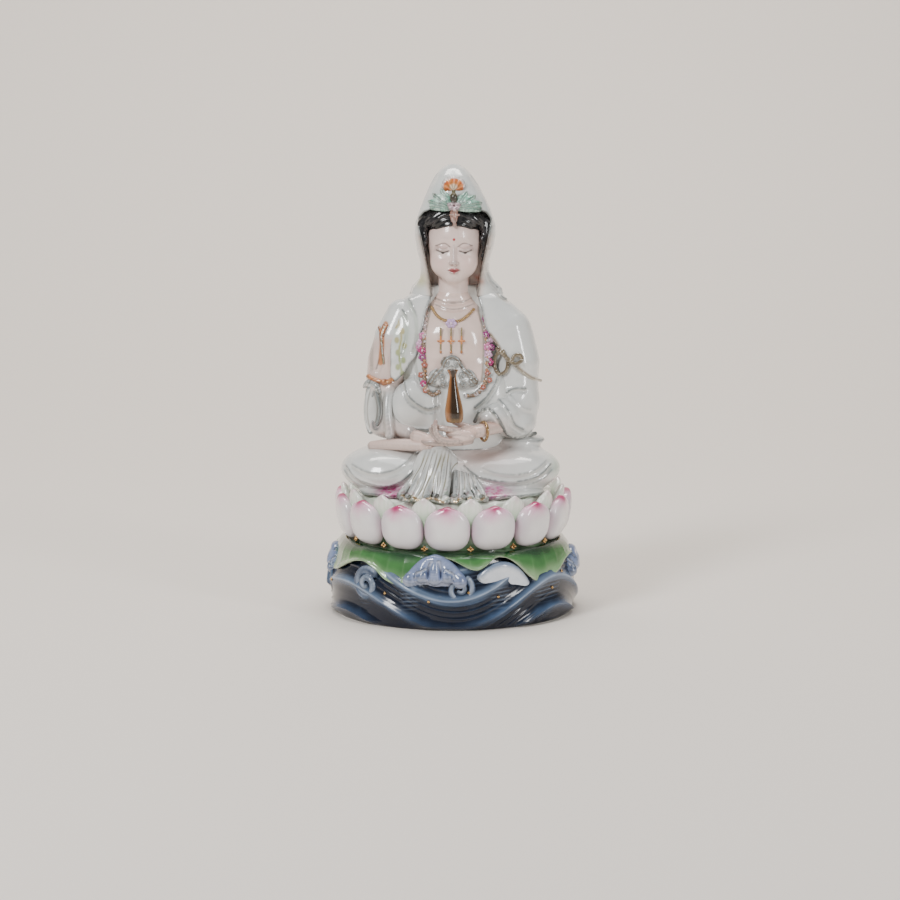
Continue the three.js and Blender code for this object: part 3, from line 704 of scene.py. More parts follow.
def paint_petal(seed):
    def paint(local, p):
        x, h = local[:, 0], local[:, 1]
        streak = 0.5 + 0.5 * np.sin(x * 46 + seed * 3)
        wash = lattice(p, 0.11, 20 + seed)
        # Painted shade: darker and mauve towards the bottom and the sides of the petal.
        col = mix((0.76, 0.74, 0.74), (0.50, 0.45, 0.50), 0.6 * smooth(-0.1, -1.0, h)
                  + 0.4 * np.abs(x) ** 3)
        reach = smooth(-0.15, 0.92, h + 0.12 * wash - 0.40 * np.abs(x + 0.12) ** 1.4)
        blush = reach**1.7 * (0.72 + 0.28 * streak)
        col = mix(col, (0.72, 0.36, 0.52), np.clip(blush * 1.15, 0, 1) * 0.9)
        core = smooth(0.62, 1.02, h - 0.5 * np.abs(x + 0.10) + 0.08 * wash)
        col = mix(col, (0.40, 0.02, 0.12), core)
        # Painted shade down the petal's left side.
        col = mix(col, (0.44, 0.34, 0.42), 0.65 * smooth(0.30, 1.0, -x) * smooth(1.0, 0.0, np.abs(h)))
        # Mauve side edges: partly the petal's own tint, partly painted shade where petals meet.
        rim = smooth(0.82, 1.0, np.abs(x)) * 0.45
        return mix(col, (0.55, 0.36, 0.45), rim)

    return paint


def paint_inner(seed):
    def paint(local, p):
        x, h = local[:, 0], local[:, 1]
        col = mix((0.36, 0.56, 0.36), (0.79, 0.80, 0.74),
                  smooth(-0.5, 0.75, h + 0.15 * lattice(p, 0.2, 40 + seed)))
        col = mix(col, (0.70, 0.42, 0.52), 0.55 * smooth(0.55, 1.1, h - 0.6 * np.abs(x)))
        return mix(col, (0.45, 0.62, 0.42), 0.3 * smooth(0.2, 1.0, 0.5 + 0.5 * np.sin(x * 24)))

    return paint


for i in range(PETALS):
    label = f"{i + 1:02d}"
    petal("petal_outer_" + label, TURN + i * STEP, (98.3, 82.0), (20.5, 10.2, 19.6), 0.17, 2.0,
          "outer_petal_" + label, "petal_glaze",
          paint_petal(i), ribs=0.10)
    petal("petal_inner_" + label, TURN + (i + 0.5) * STEP, (95.5, 92.0), (13.0, 5.6, 16.0), 0.2, 2.4,
          "inner_petal_" + label,
          "pale_green_glaze", paint_inner(i), ribs=0.06)

# The seat under the petals: a scalloped cup with a pale green deck.
nu = 280
rows = [(80, 56), (80, 58.4), (86, 58.6), (89, 72), (90.5, 86), (90.6, 101), (89.2, 103.4), (85, 104.1),
        (60, 103.8), (20, 103.6), (0.05, 103.6)]
prof = spline(rows, 70)
A, I = np.meshgrid(wrap(np.arange(nu) * TAU / nu), np.arange(len(prof)), indexing="ij")
R, Z = prof[I, 0], prof[I, 1]
R = R * (1 + 0.006 * np.cos(A * PETALS) * smooth(60, 100, Z) * (R > 80))
Z = Z + 0.5 * np.cos(A * 28) * smooth(60, 88, R) * (Z > 100)
seat_out = np.stack([np.sin(A) * R, -np.cos(A) * R, Z], -1)
B = wrap(np.arange(nu) * TAU / nu)
seat_in = []
for radius, z in [(0.05, 98), (76, 98), (82, 86)]:
    seat_in.append(np.stack([np.sin(B) * radius, -np.cos(B) * radius, np.full(nu, z)], -1))
seat_in = np.stack(seat_in, 1)


def paint_seat(p, n):
    col = mix((0.30, 0.50, 0.28), (0.74, 0.79, 0.70), smooth(64, 100, p[:, 2]))
    return mix(col, (0.48, 0.64, 0.45), 0.5 * smooth(0.2, 0.9, lattice(p, 0.12, 8)))


piece("throne", np.concatenate([seat_out, seat_in], 1).reshape(-1, 3),
      grid_quads(nu, len(prof) + 3, True, True),
      "pale_green_glaze", petal_glaze, ["lotus_seat"], paint_seat, whole=True)


# ---- Gold beads ----
def beads(name, spots, slot, material, replaces=(), rings=(12, 8)):
    """Small domes in one piece: spots are (centre, radii, colour, gold share)."""
    nu, nv = rings
    u, v = np.meshgrid(np.arange(nu) * TAU / nu, np.linspace(0, math.pi, nv), indexing="ij")
    ball = np.stack([np.sin(v) * np.cos(u), np.sin(v) * np.sin(u), np.cos(v)], -1).reshape(-1, 3)
    quads = grid_quads(nu, nv, True, False)
    points = np.concatenate([np.array(s[0]) + ball * np.array(s[1]) for s in spots])
    faces = np.concatenate([quads + i * len(ball) for i in range(len(spots))])
    colour = np.repeat(np.array([s[2] for s in spots], F), len(ball), 0)
    gold = np.repeat(np.array([s[3] for s in spots], F), len(ball))
    return piece(name, points, faces, slot, material, replaces, lambda p, n: colour, lambda p, n: gold,
                 whole=True)


BEAD_GOLD = (0.5, 0.3, 0.1)
ROUND_BEAD = (14, 9)
spots = []
for i in range(PETALS):
    a = math.degrees(TURN + (i + 0.5) * STEP)
    for da, dz, r in [(-1.0, 0, 1.5), (1.0, 0.2, 1.5), (0, 1.9, 1.3), (0, -1.3, 1.2)]:
        spots.append((on_drum(a + da, 98.6, 64.2 + dz), (r, r, r), BEAD_GOLD, 1.0))
beads("throne_beads", spots, "gold_lustre", lustre_glaze, rings=ROUND_BEAD)
BEADS = [(-47, 30), (-33, 24), (-11, 20), (7, 28), (21, 23), (53, 24), (62, 36), (88, 26), (118, 34),
         (140, 22), (168, 28),
         (-150, 30), (-120, 34), (-95, 36), (-75, 24)]
spots = []
for degrees, z in BEADS:
    h = float(swell(np.array(math.radians(degrees)), np.array(float(z)))[0])
    base = float(np.interp(z, *DRUM))
    spots.append((on_drum(degrees, base + h + 0.3, z), (1.5, 1.5, 1.5), BEAD_GOLD, 1.0))
beads("wave_beads", spots, "gold_lustre", lustre_glaze, rings=ROUND_BEAD)

# ---- Figure: shared helpers ----
def column(rows, shape=2.0):
    """A field for an upright body from rows of (height, centre x, centre y, half width, half depth)."""
    rows = np.array(rows, F)

    def field(x, y, z):
        cx, cy, hx, hy = (np.interp(z, rows[:, 0], rows[:, i]).astype(F) for i in (1, 2, 3, 4))
        q = (np.abs((x - cx) / hx) ** shape + np.abs((y - cy) / hy) ** shape) ** F(1 / shape)
        return np.maximum((q - 1) * np.minimum(hx, hy), np.maximum(rows[0, 0] - z, z - rows[-1, 0]))

    wide = [(rows[:, c] - rows[:, h]).min() for c, h in ((1, 3), (2, 4))]
    high = [(rows[:, c] + rows[:, h]).max() for c, h in ((1, 3), (2, 4))]
    return (*wide, rows[0, 0]), (*high, rows[-1, 0]), field


def front(clay, x, z):
    """Y of the front face of the clay at (x, z)."""
    i = int(np.clip(round((x - clay.lo[0]) / clay.step), 0, clay.n[0] - 1))
    k = int(np.clip(round((z - clay.lo[2]) / clay.step), 0, clay.n[2] - 1))
    row = clay.d[i, :, k]
    j = int(np.argmax(row < 0))
    if j == 0:
        return float("nan")
    return float(clay.lo[1] + clay.step * (j - 1 + row[j - 1] / (row[j - 1] - row[j])))


def laid(clay, path, lift=0.0, count=40):
    """A smooth path over the front face of the clay, from points (x, z)."""
    flat = spline(path, count)
    y = np.array([front(clay, a, b) for a, b in flat])
    good = ~np.isnan(y)
    y = np.interp(np.arange(count), np.arange(count)[good], y[good])
    return np.stack([flat[:, 0], y - lift, flat[:, 1]], -1)


def stroke(p, path, width, soft=0.8, behind=5.0):
    """1 on a painted line along (x, z) points, 0 away from it."""
    curve = spline(path, 24) if len(path) > 2 else np.array(path, float)
    reach = width + soft
    flat = p[:, [0, 2]]
    close = ((flat > curve.min(0) - reach) & (flat < curve.max(0) + reach)).all(1) & (p[:, 1] < behind)
    out = np.zeros(len(p), F)
    out[close] = smooth(reach, width, near_path(flat[close], curve)[0])
    return out


def groove(clay, path, width, depth, lip=0.0, behind=5.0):
    """A soft groove pressed along (x, z) points, with a raised lip above it."""
    curve = spline(path, 24)

    def height(p):
        d = near_path(p[:, [0, 2]], curve)[0]
        up = near_path(p[:, [0, 2]] - np.array([0, width * 1.9], F), curve)[0]
        return (-depth * np.exp(-((d / width) ** 2))
                + lip * np.exp(-((up / width) ** 2))) * (p[:, 1] < behind)

    reach = 3 * width + 1
    lo, hi = curve.min(0) - reach, curve.max(0) + reach
    clay.press(3.0, height, ((lo[0], clay.lo[1], lo[1]), (hi[0], behind, hi[1])))


def rope(points, radii, k=0.0, step=0.5, flat=None):
    """Clay that just holds a tube."""
    points = np.array(points, float)
    r = float(np.max(radii)) + 2.5
    return Clay(points.min(0) - r, points.max(0) + r, step).tube(points, radii, k=k, flat=flat)


SKIN = (0.72, 0.56, 0.50)
PINK_WASH = (0.66, 0.52, 0.48)
PEWTER = (0.20, 0.185, 0.155)
OLIVE = (0.34, 0.33, 0.20)


def shaded(p, n, base=WHITE):
    """White glaze with a painted cool shade where it faces down."""
    painted_shade = smooth(0.25, -0.75, n[:, 2] + 0.12 * lattice(p, 0.07, 11))
    return mix(plain(base, p), SHADOW, 0.45 * painted_shade)


# ---- Crossed legs under the robe ----
legs = Clay((-112, -80, 102), (108, 74, 160), 0.95)
legs.ell((0, 16, 124), (76, 50, 25), k=6)
legs.ell((-55, -16, 125), (47.5, 44, 23), k=8, turn=0.12)
legs.ell((51, -15, 125), (47, 44, 22.5), k=8, turn=-0.12)
legs.ell((0, -30, 122), (52, 36, 23), k=12)
legs.ell((0, -38, 107), (84, 40, 7.5), k=5)
legs.ell((58, -6, 150), (26, 20, 6), k=8)
legs.ell((0, 14, 107), (81, 54, 8), k=9)
legs.put((-120, -90, 90), (120, 90, 104.4), all_below(104.4), k=1.0, cut=True)
KNEE_LINES = [
    [(-97, 127), (-90, 119), (-78, 114), (-61, 111.5), (-46, 117), (-35, 127), (-29, 136)],
    [(-91, 129), (-79, 124.5), (-66, 123.5), (-50, 128), (-38, 137), (-31, 145)],
    [(10, 131), (20, 123), (33, 118), (48, 115.5), (66, 117), (80, 122), (88, 129)],
    [(27, 128), (40, 123.5), (56, 122), (72, 125), (84, 132)],
]
for line in KNEE_LINES[::2]:
    groove(legs, line, 1.5, 1.7, 1.0, behind=-8)
for line in KNEE_LINES[1::2]:
    groove(legs, line, 1.8, 0.8, 0.5, behind=-8)
legs.press(3, lambda p: 0.5 * np.sin(p[:, 0] * 0.32 + p[:, 2] * 0.5) * smooth(113, 106, p[:, 2])
           * (p[:, 1] < -10))


def robe_back(p):
    """Gathers at the hem and broad folds down the back of the robe."""
    angle = np.arctan2(p[:, 0], p[:, 1] - 6)
    gathers = 1.3 * np.sin(angle * 15 + 0.8 * np.sin(p[:, 2] * 0.12)) * smooth(122, 106, p[:, 2])
    folds = 0.8 * bump(np.sin(angle * 4.5 + 0.04 * p[:, 2]), 0, 0.25)
    return (gathers - folds) * smooth(0, 24, p[:, 1]) * smooth(148, 132, p[:, 2])


legs.press(3, robe_back)


def paint_legs(p, n):
    col = shaded(p, n)
    # Grey painted shade in the knee creases.
    for line in KNEE_LINES:
        col = mix(col, (0.42, 0.43, 0.40), 0.42 * stroke(p, line, 0.7, 1.4, -8))
    x, z, ahead = p[:, 0], p[:, 2], smooth(-5, -30, p[:, 1])
    col = mix(col, (0.62, 0.46, 0.42), 0.85 * bump(x, 24, 30) * bump(z, 143, 11) * ahead)
    col = mix(col, PINK_WASH, 0.45 * bump(x, -46, 24) * bump(z, 147, 5) * ahead)
    # Olive painted shade low on the far left of the knees.
    col = mix(col, OLIVE, 0.55 * smooth(-88, -100, x) * smooth(128, 112, z))
    col = mix(col, (0.40, 0.58, 0.42), 0.55 * smooth(84, 97, x) * smooth(112, 122, z) * smooth(146, 134, z))
    col = mix(col, (0.52, 0.64, 0.50), 0.5 * smooth(112, 105, z))
    for cx in (-53, 35):
        blot = np.exp(-(((x - cx) / 14) ** 2) - ((z - 109.0) / 5.6) ** 2) * ahead
        spots = smooth(-0.35, 0.45, lattice(p, 0.42, 6))
        col = mix(col, (0.52, 0.12, 0.30), np.clip(1.9 * blot, 0, 1) * (0.45 + 0.55 * spots))
        col = mix(col, (0.33, 0.015, 0.10),
                  np.clip(1.6 * blot - 0.5, 0, 1) * smooth(0.1, 0.6, lattice(p, 0.55, 14)))
        col = mix(col, (0.10, 0.10, 0.09), 0.5 * smooth(0.55, 0.8, lattice(p, 0.5, 26))
                  * np.clip(1.4 * blot, 0, 1))
    return col


piece("robe_legs", *legs.surface(), "white_glaze", porcelain, ["crossed_legs"], paint_legs, painted_shade=0.7)

# ---- Fluted drapery between the knees ----
drape = Clay((-54, -104, 102), (36, -38, 160), 0.6)
drape.ell((-15, -54, 126), (22, 16, 26), k=4)
drape.ell((4, -58, 112), (24, 18, 14), k=5)
FLUTE_STEPS = 18


def flute(top, bottom, seed):
    """A fold of cloth that falls from top to bottom, bulging forward and swaying a little."""
    t = np.linspace(0, 1, FLUTE_STEPS)[:, None]
    path = np.array(top) + (np.array(bottom) - np.array(top)) * t ** np.array([1.15, 0.8, 1.0])
    path[:, 0] += 1.4 * np.sin(t[:, 0] * (4 + seed % 3) + seed * 1.7) * t[:, 0]
    path[:, 1] -= 1.1 * np.sin(t[:, 0] * 6 + seed * 2.1) * t[:, 0]
    return path


flute_paths = []
for i in range(8):
    s = i / 7
    high = math.sin(math.pi * s)
    flute_paths.append(flute((-21 + 17 * s, -56 - 3.5 * high, 146 + 5 * high),
                             (-46 + 40 * s, -73 - 16.5 * s**0.6, 109 - 3 * s**0.5), i))
for i in range(5):
    s = i / 4
    flute_paths.append(flute((3 + 16 * s, -66 + 4 * s, 129 - 5 * s), (1 + 28 * s, -90 + 8 * s, 106), i + 3))
for i, path in enumerate(flute_paths):
    width = (3.6, 2.7, 4.1, 3.0)[i % 4] if i < 8 else (3.4, 2.6)[i % 2]
    drape.tube(path, np.linspace(2.1, width, FLUTE_STEPS), k=2.4)
hem = []
for s in np.linspace(0, 1, 60):
    ripple = s * 37 + 2 * math.sin(s * 9)
    bulge = 9 * math.sin(math.pi * s)
    hem.append((-46 + 76 * s, -83 - bulge + 1.5 * math.sin(ripple), 106.5 + 1.6 * math.sin(ripple + 1.2)))
drape.tube(hem, 2.2, k=1.5)
for i in range(9):
    x = -40 + 8.2 * i
    drape.ell((x, -88 - 4 * math.sin(math.pi * (i + 0.5) / 9), 110.5 + 1.5 * (i % 2)), (3.0, 2.6, 2.4),
              k=1.2, cut=i % 3 == 1)
drape.put((-60, -110, 90), (60, -30, 104.5), all_below(104.5), k=0.6,
          cut=True)


def paint_drape(p, n):
    # Near-black painted shade in the valleys between the flutes.
    two = np.sort(np.stack([near_path(p, path)[0] for path in flute_paths]), 0)[:2]
    valley = smooth(1.3, 0.2, two[1] - two[0]) * smooth(152, 140, p[:, 2])
    col = mix(shaded(p, n), mix((0.13, 0.12, 0.11), (0.17, 0.15, 0.07),
                                smooth(-0.3, 0.4, lattice(p, 0.15, 44))), 0.92 * valley)
    col = mix(col, (0.62, 0.62, 0.60), 0.25 * smooth(-0.2, 0.8, lattice(p, 0.2, 19)))
    for i, path in enumerate(flute_paths):
        line = near_path(p, path + np.array([(-1.5, 1.3, 0.4)[i % 3], -2.2, 0]))[0]
        col = mix(col, (0.27, 0.24, 0.18),
                  0.7 * smooth(1.0, 0.5, line) * smooth(-0.1, 0.3, lattice(p, 0.25, 60 + i)))
    low = smooth(126, 112, p[:, 2])
    col = mix(col, (0.30, 0.10, 0.13), 0.55 * low * smooth(0.35, 0.75, lattice(p, 0.45, 31)))
    col = mix(col, (0.16, 0.25, 0.14), 0.55 * low * smooth(0.35, 0.8, lattice(p, 0.42, 33)))
    return mix(col, (0.55, 0.62, 0.48), 0.5 * smooth(112, 106, p[:, 2]))


def gilt_drape(p, n):
    d = near_path(p[:, [0, 2]], np.array(hem, F)[:, [0, 2]] + np.array([0, 1.6], F))[0]
    gold = smooth(1.4, 0.7, d) * 0.7 * smooth(-0.35, 0.15, lattice(p, 0.28, 71))
    for path in flute_paths:
        side = near_path(p, path + np.array([2.9, 0.2, 0]))[0]
        gold = np.maximum(gold, 0.35 * smooth(1.0, 0.5, side) * smooth(0.1, 0.5, lattice(p, 0.3, 17)))
    return gold


piece("lap_drape", *drape.surface(), "white_glaze", porcelain, ["lap_drapery"], paint_drape, gilt_drape,
      painted_shade=0.7)

# ---- Foot under the sleeve ----
foot = Clay((-84, -66, 138), (-8, -26, 166), 0.55)
shin = spline([(-73, -27, 147), (-58, -36, 149.4), (-40, -44.5, 150.4), (-23, -51.5, 150.6)], 12)
foot.tube(shin, spline([(4.9, 0), (5.7, 0), (6.1, 0), (6.0, 0)], 12)[:, 0], k=1, flat=(2, 0.9))
foot.ell((-22, -53, 151), (6.2, 6.6, 5.8), k=2)
for i in range(4):
    foot.ell((-19.5 + 0.6 * i, -59.5 + 2.6 * i, 150.2 + 0.9 * i), (3.2, 1.7, 2.3), k=1.2)
# Painted shade where the foot faces down.
piece("foot", *foot.surface(), "skin_glaze", skin, ["left_foot"],
      lambda p, n: mix(mix(plain(SKIN, p), (0.62, 0.40, 0.34),
                           0.35 * smooth(0, -0.9, n[:, 2])),
                       (0.70, 0.42, 0.36), 0.25 * smooth(-30, -16, p[:, 0])), painted_shade=0.4)

# ---- Torso: bare chest, neck and the crossed robe ----
torso = Clay((-66, -50, 142), (66, 50, 297), 0.8)
torso.put(*column([(144, 0, 0, 54, 38), (165, 0, 0, 57, 38), (190, 0, 2, 55, 38), (215, 0, 4, 50, 36),
                   (235, 0, 5, 46, 34.5),
                   (255, 0, 6, 40, 31), (267, 0, 6, 33, 26), (275, 0, 4, 24, 20), (282, 0, 1, 17, 16),
                   (287, 0.3, 0.5, 14.2, 14), (293, 0.4, 0, 12.5, 12.5)]))
torso.ell((-32, -24, 184), (25, 15, 25), k=5, roll=-0.12)
torso.ell((24, -22, 190), (27, 15, 30), k=5, roll=0.2)
torso.ell((0, -19, 243), (25, 10.5, 17), k=10)
ROBE_LINES = [
    [(-34, 232), (-34, 222), (-32, 208), (-26, 199), (-18, 195), (-12, 197)],
    [(-46, 206), (-41, 192), (-33, 184.5), (-23, 180), (-13, 182)],
    [(-50, 212), (-55.5, 197), (-56.5, 181), (-52, 169), (-41, 161.5), (-22, 160)],
    [(11, 192), (20, 195), (29, 203), (34, 216), (35, 232)],
    [(38, 238), (41, 222), (40, 206), (31, 191), (20, 181)],
]
for line in ROBE_LINES:
    groove(torso, line, 1.5, 1.3, 1.1, behind=-4)
groove(torso, [(-12, 205), (-13, 190), (-13, 172), (-9, 162)], 3.4, 2.4, 0.0, behind=-10)
for z, deep in ((276.5, 0.6), (271.0, 0.7)):
    groove(torso, [(-17, z + 2), (-8, z - 1), (0, z - 2), (9, z - 1), (18, z + 2)], 0.9, deep, 0.3,
           behind=0)


def chest_line(p):
    """A faint hollow down the middle of the chest."""
    height = smooth(228, 240, p[:, 2]) * smooth(262, 250, p[:, 2])
    return -0.45 * bump(p[:, 0], 0, 1.6) * height * (p[:, 1] < 0)


torso.press(3, chest_line)
SKIN_EDGE = ([200, 215, 235, 250, 270, 284, 297], [23, 25, 26, 25.5, 21, 22, 40])


def paint_torso(p, n):
    x, z = p[:, 0] - 1.2, p[:, 2]
    robe = shaded(p, n)
    # Grey painted shade in the robe's fold creases.
    for line in ROBE_LINES:
        robe = mix(robe, (0.36, 0.37, 0.34), 0.6 * stroke(p, line, 0.8, 1.2, 0))
    # A wide painted shadow in the gap between the robe panels.
    robe = mix(robe, (0.45, 0.44, 0.42), 0.75 * stroke(p, [(-12, 205), (-13, 190), (-13, 172), (-9, 162)],
                                                       3.0, 4.0, -5))
    # Painted shade where the neck skin faces down under the chin.
    flesh = mix(plain(SKIN, p), (0.58, 0.38, 0.32),
                0.35 * smooth(262, 292, z) * smooth(0.2, -0.8, n[:, 2]))
    # Painted shade in the neck creases.
    for c in (276, 270.5):
        flesh = mix(flesh, (0.52, 0.34, 0.28), 0.4
                    * stroke(p, [(-17, c + 2), (-8, c - 1), (0, c - 2), (9, c - 1), (18, c + 2)], 0.5, 1.0))
    edge = np.interp(z, *SKIN_EDGE)
    bare = smooth(0.6, -0.6, np.abs(x) - edge) * smooth(206, 208, z) * (p[:, 1] < 16)
    col = mix(robe, flesh, bare)
    return mix(col, (0.25, 0.17, 0.12), 0.7 * smooth(1.5, 0.4, np.abs(np.abs(x) - edge - 0.6)) * (z > 206)
               * (p[:, 1] < 5))


piece("torso_robe", *torso.surface(), "white_glaze", porcelain, ["torso"], paint_torso, painted_shade=0.7)

# ---- Mantle over the shoulders ----
HEM_RIGHT = [(33.4, 248), (39, 241), (44, 232), (50, 225), (56, 221), (63, 214.5), (71, 208.5), (80, 204)]
mantle = Clay((-90, -46, 166), (90, 52, 297), 0.9)
mantle.put(*column([(172, 0, 12, 70, 30), (200, 0, 10, 77, 32), (221, 0, 9, 75.5, 33), (248, 0, 8, 69, 32),
                    (265, 0.5, 8, 58, 29),
                    (280, 1, 8, 41, 25), (288, 1.5, 8, 31, 21), (292, 1.5, 8, 22, 17)], 2.25))
mantle.tube([(34, 0, 268), (51, -6, 250), (57, -10, 222), (57, -10, 205)], [17, 20, 21.5, 20], k=9)
mantle.tube([(-32, 0, 266), (-45, -4, 246), (-50, -8, 222), (-48, -10, 205)], [16, 18, 19, 17], k=8)


def front_opening(x, y, z):
    width = np.interp(z, [160, 200, 228, 246, 268, 285, 300], [60, 46, 33, 30, 25, 20, 18]).astype(F)
    return np.maximum(np.abs(x - F(1.2)) - width, y + F(6) + 0 * z)


def below_hem(x, y, z):
    right = np.interp(x, [20, 33.4, 39, 44, 50, 56, 63, 71, 80, 95],
                      [262, 248, 241, 232, 225, 221, 214.5, 208.5, 204, 199])
    left = np.interp(x, [-95, -59, -57.5, -57, -52, -45, -39, -33, -20],
                     [262, 259, 254, 209, 205.5, 212, 222, 228, 232])
    line = np.where(x > 0, right, left).astype(F)
    back = 176 + 3 * np.sin(x * 0.13 + 1) + 0.0012 * x * x
    share = smooth(0, 32, y)
    return (z - (line * (1 - share) + back * share)) * F(0.75)


mantle.put((-95, -60, 160), (95, 20, 300), front_opening, k=2.5, cut=True)
mantle.put((-95, -60, 150), (95, 60, 262), below_hem, k=1.6, cut=True)


def back_folds(p):
    """Long folds that spread and deepen from the shoulders down the back."""
    spread = p[:, 0] / (0.62 + 0.38 * smooth(280, 190, p[:, 2]))
    wave = np.sin(spread * 0.15 + 0.9 * np.sin(spread * 0.045)) + 0.45 * np.sin(spread * 0.31 + 2)
    return wave * (0.35 + 1.5 * smooth(270, 180, p[:, 2])) * smooth(6, 26, p[:, 1])


mantle.press(3.5, back_folds)
LEFT_FOLDS = [[(-40, 276), (-34, 262), (-33, 246), (-36, 232)],
              [(-58, 262), (-50, 268), (-43, 262), (-42, 246), (-46, 228)]]
for line in LEFT_FOLDS:
    groove(mantle, line, 1.7, 1.1, 0.8, behind=2)
groove(mantle, [(40, 285), (44, 280), (50, 277), (54, 279)], 1.1, 0.9, 0.6, behind=18)
groove(mantle, [(-20, 268), (-35, 264), (-52, 256)], 6, 0.6, 0.4, behind=2)


def sprig(p):
    """A painted flowering twig down the left breast."""
    stem = [(-50, 262), (-47, 246), (-49, 232), (-47, 216)]
    leaf = np.zeros(len(p), F)
    for x, z in [(-52, 256), (-46, 251), (-51, 243), (-44, 238), (-50, 232), (-45, 225), (-50, 219),
                 (-46, 213)]:
        d = np.hypot((p[:, 0] - x) / 2.6, (p[:, 2] - z) / 3.4)
        leaf = np.maximum(leaf, smooth(1.1, 0.6, d))
    return np.maximum(leaf, stroke(p, stem, 0.5, 0.8)) * (p[:, 1] < 2)


def paint_mantle(p, n):
    col = shaded(p, n)
    # Greenish painted shade in the fold creases.
    for line in LEFT_FOLDS:
        col = mix(col, (0.34, 0.40, 0.33), 0.5 * stroke(p, line, 0.9, 1.6, 0))
    col = mix(col, (0.40, 0.50, 0.36),
              0.45 * np.exp(-(((p[:, 0] + 46) / 8) ** 2) - ((p[:, 2] - 245) / 16) ** 2) * (p[:, 1] < 2))
    tone = mix((0.24, 0.30, 0.05), (0.38, 0.30, 0.07), smooth(225, 250, p[:, 2]))
    col = mix(col, tone, 0.75 * sprig(p))
    return mix(col, PEWTER, 0.6 * stroke(p, [(40, 285), (44, 280), (50, 277), (54, 279)], 0.7, 0.8, 18))


def gilt_mantle(p, n):
    d = near_path(p[:, [0, 2]], HEM_RIGHT)[0]
    return 0.35 * smooth(2.6, 1.4, d) * (p[:, 1] < 6)


piece("cape", *mantle.surface(), "white_glaze", porcelain, ["mantle"], paint_mantle, gilt_mantle, painted_shade=0.7)

# ---- Sleeves ----
left_arm = Clay((10, -66, 148), (92, 38, 262), 0.8)
left_arm.tube([(52, 0, 252), (57, -6, 218), (57.5, -9, 188), (55, -13, 172)], [14, 20.3, 21, 18.5], k=7)
left_arm.tube([(57, -10, 182), (46, -27, 176), (33, -43, 174)], [20, 16.5, 10], k=7)
left_arm.ell((56, -12, 166), (19.5, 25, 13), k=6)
left_arm.ell((33, -56, 164), (12, 12, 8.5), k=2.5, cut=True)
CUFF_LEFT = [(19.5, 172), (24, 180), (32, 183), (38, 178), (44, 168), (49, 159), (56, 155.5), (66, 154.5),
             (75, 157)]
SLEEVE_LINES = [[(46, 192), (52, 196), (58, 197.5), (65, 197)],
                [(36, 190), (43, 186), (50, 177), (55, 166), (63, 160)],
                [(44, 200), (53, 189), (62, 180), (70, 176)]]
groove(left_arm, SLEEVE_LINES[0], 1.4, 1.2, 0.9, behind=6)
groove(left_arm, SLEEVE_LINES[1], 1.8, 1.2, 0.9, behind=0)
groove(left_arm, SLEEVE_LINES[2], 2.2, 0.5, 0.4, behind=0)
left_arm.tube(laid(left_arm, CUFF_LEFT, 0.2), 1.9, k=1.2)


def paint_left_arm(p, n):
    col = shaded(p, n)
    # Grey painted shade in the sleeve creases.
    for line, share in zip(SLEEVE_LINES, (0.55, 0.5, 0.2)):
        col = mix(col, (0.40, 0.41, 0.39), share * stroke(p, line, 0.8, 1.4, 0))
    inside = np.exp(-(((p[:, 0] - 33) / 13) ** 2) - ((p[:, 2] - 164) / 10) ** 2) * (p[:, 1] < -25)
    col = mix(col, PINK_WASH, np.clip(1.5 * inside, 0, 1))
    return mix(col, (0.33, 0.33, 0.30), 0.75 * stroke(p, CUFF_LEFT, 1.2, 0.9, 0))


piece("sleeve_left", *left_arm.surface(), "white_glaze", porcelain, ["left_sleeve"], paint_left_arm,
      painted_shade=0.7)

right_arm = Clay((-94, -64, 148), (-16, 38, 284), 0.8)
right_arm.tube([(-46, 1, 263), (-54, -3, 243), (-60, -5, 222), (-62, -7, 195), (-59, -10, 172)],
               [15.5, 18, 18, 18, 17], k=7)
right_arm.tube([(-60, -8, 178), (-53, -18, 167), (-38, -28, 160)], [17, 13, 8.5], k=7)
right_arm.ell((-58, -8, 162), (20, 24, 10), k=6)
right_arm.tube(spline([(-56, -22, 199), (-59, -27, 190), (-59.5, -31, 180), (-58.5, -34, 168),
                       (-57, -36, 157)], 14), 4.2, k=2.4)
right_arm.ell((-69, -24, 180), (5.5, 9, 17), k=3, cut=True)
ARM_LINES = [[(-66, 250), (-64.5, 236), (-66, 224), (-69, 214)], [(-73, 246), (-74, 232), (-74, 216)]]
for line in ARM_LINES:
    groove(right_arm, line, 1.5, 1.0, 0.7, behind=4)


def paint_right_arm(p, n):
    col = shaded(p, n)
    z = p[:, 2]
    ahead = smooth(6, -4, p[:, 1])
    col = mix(col, (0.66, 0.47, 0.41), 0.75 * smooth(250, 240, z) * smooth(192, 204, z) * ahead)
    col = mix(col, PINK_WASH, 0.6 * smooth(178, 166, z) * ahead)
    col = mix(col, (0.48, 0.18, 0.055), 0.9 * stroke(p, [(-61, 257), (-64, 250), (-64.5, 238), (-66, 222)],
                                                     1.4, 1.6))
    # Painted shade beside the hanging fold and in the sleeve crease.
    col = mix(col, (0.30, 0.28, 0.25), 0.6 * stroke(p, [(-62.5, 196), (-63, 180), (-62, 160)], 0.9, 1.4))
    return mix(col, (0.33, 0.29, 0.25), 0.6 * stroke(p, ARM_LINES[1], 0.8, 1.4))


piece("sleeve_right", *right_arm.surface(), "white_glaze", porcelain, ["right_sleeve"], paint_right_arm,
      painted_shade=0.7)

